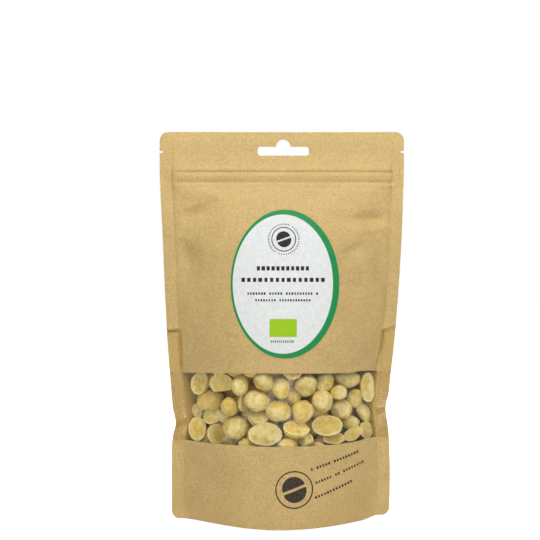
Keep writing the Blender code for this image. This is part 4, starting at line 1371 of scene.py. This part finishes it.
class POUCH_OT_papers(Operator):
    """Makes the front and back papers, with the hang slot and the tear notches"""

    bl_idname = "pouch.papers"
    bl_label = "Papers"

    def execute(self, context):
        sizes, s, kraft = context.scene.pouch_sizes, shape(), unbleached_kraft()
        across, foot = s.columns(), 0.4
        # The window's edges aren't quite level: both rise a little to the right.
        low = sizes.window_bottom / MM + 1.2 * ease((across - 52) / 16) - 0.8 * ease((-across - 30) / 30)
        high = sizes.window_top / MM + 1.3 * ease((across - 48) / 10) - 0.4 * ease((across - 66) / 8)
        lower = sheet("front_paper_lower", foot, low, -1, FRONT_LIFT, s.front_relief, sizes.paper, kraft)
        lined(smooth(piece(finished(lower), "kraft_paper", "front_paper_lower"), SHARP), -1)
        tools = opening_cutters(s)
        upper = sheet(
            "front_paper_upper", high, s.height, -1, FRONT_LIFT, s.front_relief, sizes.paper, kraft
        )
        lined(smooth(piece(punch(upper, tools), "kraft_paper", "front_paper_upper"), SHARP), -1)
        back = sheet("back_paper", foot, s.height, 1, BACK_LIFT, s.back_relief, sizes.paper, kraft)
        lined(smooth(piece(punch(back, tools), "kraft_paper", "back_paper"), SHARP), 1)
        for tool in tools:
            bpy.data.objects.remove(tool)
        return {"FINISHED"}


class POUCH_OT_window(Operator):
    """Makes the clear film of the window, which clings to the kernels behind it"""

    bl_idname = "pouch.window"
    bl_label = "Window Film"

    def execute(self, context):
        sizes, s = context.scene.pouch_sizes, shape()
        bottom = sizes.window_bottom / MM - sizes.overlap / MM
        top = sizes.window_top / MM + sizes.overlap / MM
        trees, margin = kernel_trees(), 3 * MM

        def room(x, z):
            """How far behind the smooth film the nearest kernel is; below 0 where it stands out of it."""
            farthest, before, reach = 2.5, 2.0, 4.0
            found = np.full(x.shape, farthest)
            across, height = s.over(x, z)
            points, normals = s.skin(across, height, -1) * MM, s.outward(across, height, -1)
            for spot in np.ndindex(x.shape):
                towards = -Vector(normals[spot])
                at = Vector(points[spot]) - towards * before * MM
                for tree, low, high in trees:
                    if all(low[i] - margin < at[i] < high[i] + margin for i in (0, 2)):
                        hit = tree.ray_cast(at, towards, reach * MM)[3]
                        if hit is not None:
                            found[spot] = min(found[spot], hit / MM - before)
            return found

        def relief(x, z):
            """How far the film stands out: it spans between kernels, and follows the paper at its edges."""
            sag = room(x, z) - FILM_CLEARANCE
            # It can't bend sharply, so no point sinks deeper than the mean of the four beside it.
            for _ in range(6):
                wide = np.pad(sag, 1, mode="edge")
                near = wide[:-2, 1:-1] + wide[2:, 1:-1] + wide[1:-1, :-2] + wide[1:-1, 2:]
                sag = np.minimum(sag, near / 4)
            free = ease((63.5 - np.abs(x)) / 5) * ease((z - 53) / 5) * ease((97 - z) / 5)
            own = -SINK_SHARE * np.clip(sag, 0, DEEPEST_GAP) - np.clip(sag, -FARTHEST_PUSH, 0)
            own += 0.1 * crumple(x, z, 9, 5.5)
            return s.front_relief(x, z) * (1 - free) + own * free

        film = sheet("window_film", bottom, top, -1, FILM_LIFT, relief, sizes.film, cast_polypropylene())
        smooth(piece(finished(film), "clear_film", "window_film"), SHARP)
        return {"FINISHED"}


class POUCH_OT_gusset(Operator):
    """Makes the folded floor of the pouch"""

    bl_idname = "pouch.gusset"
    bl_label = "Gusset"

    def execute(self, context):
        s, thickness = shape(), context.scene.pouch_sizes.paper
        # The floor lies flat in the middle and folds up to a ridge at each end.
        reach, flat, ridge, gap = 0.80, 0.50, 33.0, 0.75
        share = np.linspace(-reach, reach, 100)[None, :]
        w = np.linspace(-1, 1, 49)[:, None]
        rise = ridge * ease((np.abs(share) - flat) / (reach - flat)) * (1 - np.abs(w))
        left, right = s.sides(rise)
        x = (left + right) / 2 + share * (right - left) / 2
        half = s.bulge(share + 0 * w, rise) - gap
        soft = 0.25 * crumple(x, w * 30 + 0 * x, 16, 3.3) * ease(rise / 6)
        points = np.stack([x, w * half, rise + thickness / MM / 2 + soft.clip(0)], -1)
        obj = new_object("gusset", grid("gusset", points, (0, 0, -1)), unbleached_kraft())
        thicken(obj, thickness)
        smooth(piece(finished(obj), "kraft_paper", "gusset"), SHARP)
        return {"FINISHED"}


class POUCH_OT_closure(Operator):
    """Gives the two strips of the zip closure their finish"""

    bl_idname = "pouch.closure"
    bl_label = "Closure"

    def execute(self, context):
        plastic = moulded_polyethylene()
        for name in ("zip_rib_strip", "zip_jaw_strip"):
            node = frame["nodes"][name]
            node.data.materials.clear()
            node.data.materials.append(plastic)
        return {"FINISHED"}


class POUCH_OT_label(Operator):
    """Makes the oval sticker and its plain printing"""

    bl_idname = "pouch.label"
    bl_label = "Label"

    def execute(self, context):
        sizes, s = context.scene.label_sizes, shape()
        rings, spokes = 40, 128
        share = np.linspace(0.0, 1.0, rings + 1)[:, None]
        angle = np.linspace(0, math.tau, spokes + 1)[None, :]
        x = (sizes.centre_x + share * np.cos(angle) * sizes.width / 2) / MM
        z = (sizes.centre_z + share * np.sin(angle) * sizes.height / 2) / MM
        across, height = s.over(x, z)
        points = s.place(across, height, -1, LABEL_LIFT + s.front_relief(x, height))
        mesh = grid("label", points, (0, -1, 0))
        # The innermost ring is one point and the first spoke is also the last, so they are merged.
        bm = bmesh.new()
        bm.from_mesh(mesh)
        bmesh.ops.remove_doubles(bm, verts=bm.verts, dist=1e-5)
        bm.to_mesh(mesh)
        bm.free()
        obj = new_object("label", mesh, coated_label_paper(sizes))
        thicken(obj, LABEL_THICKNESS * MM)
        smooth(piece(finished(obj), "label_paper", "label"), SHARP)
        black = ink("black_ink", linear("#1d1a18"), 0.02)
        lime = ink("lime_ink", context.scene.pouch_looks.patch, 0.01)
        grey = ink("grey_ink", linear("#77756f"), 0.05)
        # The round mark, four lines of blocks, the patch and a last, smaller line, from the top down
        cx, cz = 1.1, 182.5
        flats = [
            flat_disc("ring", black, cx, cz, 7.9, 7.3),
            marks("dots", ring_path(cx, cz, 9.7), black, 40, 0.85, 0.75, 0.12, 3),
            flat_disc("upper_half", black, cx - 0.2, cz + 0.5, 4.6, 0.0, 20, 200),
            flat_disc("lower_half", black, cx + 0.2, cz - 0.5, 4.6, 0.0, 200, 380),
            marks("line_1", line_path(-15.0, 163.9, 16.0, 163.9), black, 11, 2.3, 2.7, 0.0, 5),
            marks("line_2", line_path(-24.6, 156.6, 25.8, 156.6), black, 15, 2.5, 2.6, 0.0, 6),
            marks("line_3", line_path(-21.4, 147.9, 22.0, 147.9), black, 26, 1.15, 1.5, 0.1, 8),
            marks("line_4", line_path(-16.4, 143.7, 17.2, 143.7), black, 21, 1.1, 1.4, 0.1, 9),
            flat_patch("patch", lime, 0.6, 126.4, 17.0, 11.2),
            marks("line_5", line_path(-6.8, 118.0, 6.8, 118.0), grey, 12, 0.9, 1.5, 0.0, 12),
        ]
        printed("label_print", flats, PRINT_LIFT, "label_paper")
        return {"FINISHED"}


class POUCH_OT_stamp(Operator):
    """Prints a plain round mark and three lines of blocks on the lower paper"""

    bl_idname = "pouch.stamp"
    bl_label = "Stamp"

    def execute(self, context):
        brown = ink("brown_black_ink", linear("#332a20"), 0.05)
        cx, cz = 7.5, 25.6
        flats = [
            flat_disc("ring", brown, cx, cz, 11.9, 11.1),
            flat_disc("upper_half", brown, cx - 0.3, cz + 0.8, 7.4, 0.0, 20, 200),
            flat_disc("lower_half", brown, cx + 0.3, cz - 0.8, 7.4, 0.0, 200, 380),
            marks("line_1", line_path(18.5, 38.0, 48.0, 46.0), brown, 17, 1.4, 1.6, 0.1, 2),
            marks("line_2", line_path(21.6, 29.4, 51.8, 39.0), brown, 18, 1.3, 1.5, 0.16, 4),
            marks("line_3", line_path(21.1, 20.2, 43.7, 27.8), brown, 13, 1.4, 1.5, 0.1, 7),
        ]
        printed("stamp", flats, STAMP_LIFT, "kraft_paper")
        return {"FINISHED"}


class POUCH_OT_stage(Operator):
    """Sets the white board, the lights and the camera"""

    bl_idname = "pouch.stage"
    bl_label = "Stage"

    def execute(self, context):
        scene, studio = context.scene, context.scene.studio
        scene.view_settings.view_transform = "Standard"
        # The board lies 0.2 mm under the pouch's foot.
        bm = bmesh.new()
        bmesh.ops.create_circle(bm, cap_ends=True, segments=64, radius=4.0)
        board = new_object("board", mesh_of(bm, "board"), white_board())
        board.location.z = -0.2 * MM
        aim = Vector((0, 0, 0.15))
        # Where each light stands, how wide it is and its power; all face the pouch.
        for name, place, size, power in (
            ("softbox_above", (0.03, -0.38, 0.68), 0.40, studio.key),
            ("softbox_left", (-0.70, -0.80, 0.50), 0.50, studio.key * 0.38),
            ("softbox_right", (0.72, -0.78, 0.50), 0.50, studio.key * 0.42),
            ("softbox_front", (0.05, -1.25, 0.22), 0.60, studio.key * 0.95),
            ("softbox_behind", (0.55, 0.80, 0.62), 0.70, studio.key * 1.1),
            ("lamp_left", (-0.30, -0.75, 0.75), 0.07, studio.key * 0.10),
        ):
            light = bpy.data.lights.new(name, "AREA")
            light.energy, light.size = power, size
            lamp = bpy.data.objects.new(name, light)
            lamp.location = place
            lamp.rotation_euler = (aim - Vector(place)).to_track_quat("-Z", "Y").to_euler()
            scene.collection.objects.link(lamp)
        # The room's walls look pure white but give only the fill's light.
        world = bpy.data.worlds.new("studio")
        world.use_nodes = True
        tree = world.node_tree
        white = (1, 1, 1, 1)
        sky = plug(tree, tree.nodes["Background"], Strength=studio.fill, Color=white)
        seen = add_node(tree, "ShaderNodeBackground", Strength=1.0, Color=white)
        ray = add_node(tree, "ShaderNodeLightPath").outputs["Is Camera Ray"]
        mix = add_node(
            tree, "ShaderNodeMixShader", _0=ray, _1=sky.outputs["Background"], _2=seen.outputs["Background"]
        )
        plug(tree, tree.nodes["World Output"], Surface=mix.outputs["Shader"])
        scene.world = world
        # A slightly long lens, a little above the pouch's middle, looks straight ahead.
        lens = bpy.data.cameras.new("camera")
        lens.sensor_width, lens.lens = 36.0, 63.5
        lens.clip_start, lens.clip_end = 0.01, 20.0
        camera = bpy.data.objects.new("camera", lens)
        camera.location = (-0.0077, -0.625, 0.163)
        camera.rotation_euler = (math.pi / 2, 0, 0)
        scene.collection.objects.link(camera)
        scene.camera = camera
        return {"FINISHED"}


class POUCH_PT_panel(Panel):
    """The sidebar panel that lists the pouch's pieces"""

    bl_idname = "POUCH_PT_panel"
    bl_label = "Nut Pouch"
    bl_space_type = "VIEW_3D"
    bl_region_type = "UI"
    bl_category = "Nut Pouch"

    def draw(self, context):
        layout, scene = self.layout, context.scene
        for title, group in GROUPS:
            box = layout.box()
            box.label(text=title)
            settings = getattr(scene, group)
            for name in settings.bl_rna.properties.keys():
                if name not in {"rna_type", "name"}:
                    box.prop(settings, name)
        for operator in OPERATORS:
            layout.operator(operator.bl_idname)


GROUPS = (
    ("Pouch", "pouch_sizes"), ("Colours", "pouch_looks"), ("Label", "label_sizes"),
    ("Packing", "packing_sizes"), ("Studio", "studio"),
)
SETTINGS = (PouchSizes, PouchLooks, LabelSizes, PackingSizes, Studio)
OPERATORS = (
    POUCH_OT_kernels, POUCH_OT_packing, POUCH_OT_papers, POUCH_OT_window, POUCH_OT_gusset,
    POUCH_OT_closure, POUCH_OT_label, POUCH_OT_stamp, POUCH_OT_stage,
)


def register():
    """Registers the classes and hangs the settings on the scene."""
    for cls in (*SETTINGS, *OPERATORS, POUCH_PT_panel):
        bpy.utils.register_class(cls)
    for (_, name), settings in zip(GROUPS, SETTINGS):
        setattr(bpy.types.Scene, name, PointerProperty(type=settings))


def unregister():
    """Takes the settings and the classes away again."""
    for _, name in GROUPS:
        delattr(bpy.types.Scene, name)
    for cls in reversed((*SETTINGS, *OPERATORS, POUCH_PT_panel)):
        bpy.utils.unregister_class(cls)


def main():
    """Makes the pouch and its stage."""
    register()
    bpy.ops.pouch.kernels()
    bpy.ops.pouch.packing()
    bpy.ops.pouch.papers()
    bpy.ops.pouch.window()
    bpy.ops.pouch.gusset()
    bpy.ops.pouch.closure()
    bpy.ops.pouch.label()
    bpy.ops.pouch.stamp()
    bpy.ops.pouch.stage()


if __name__ == "__main__":
    main()
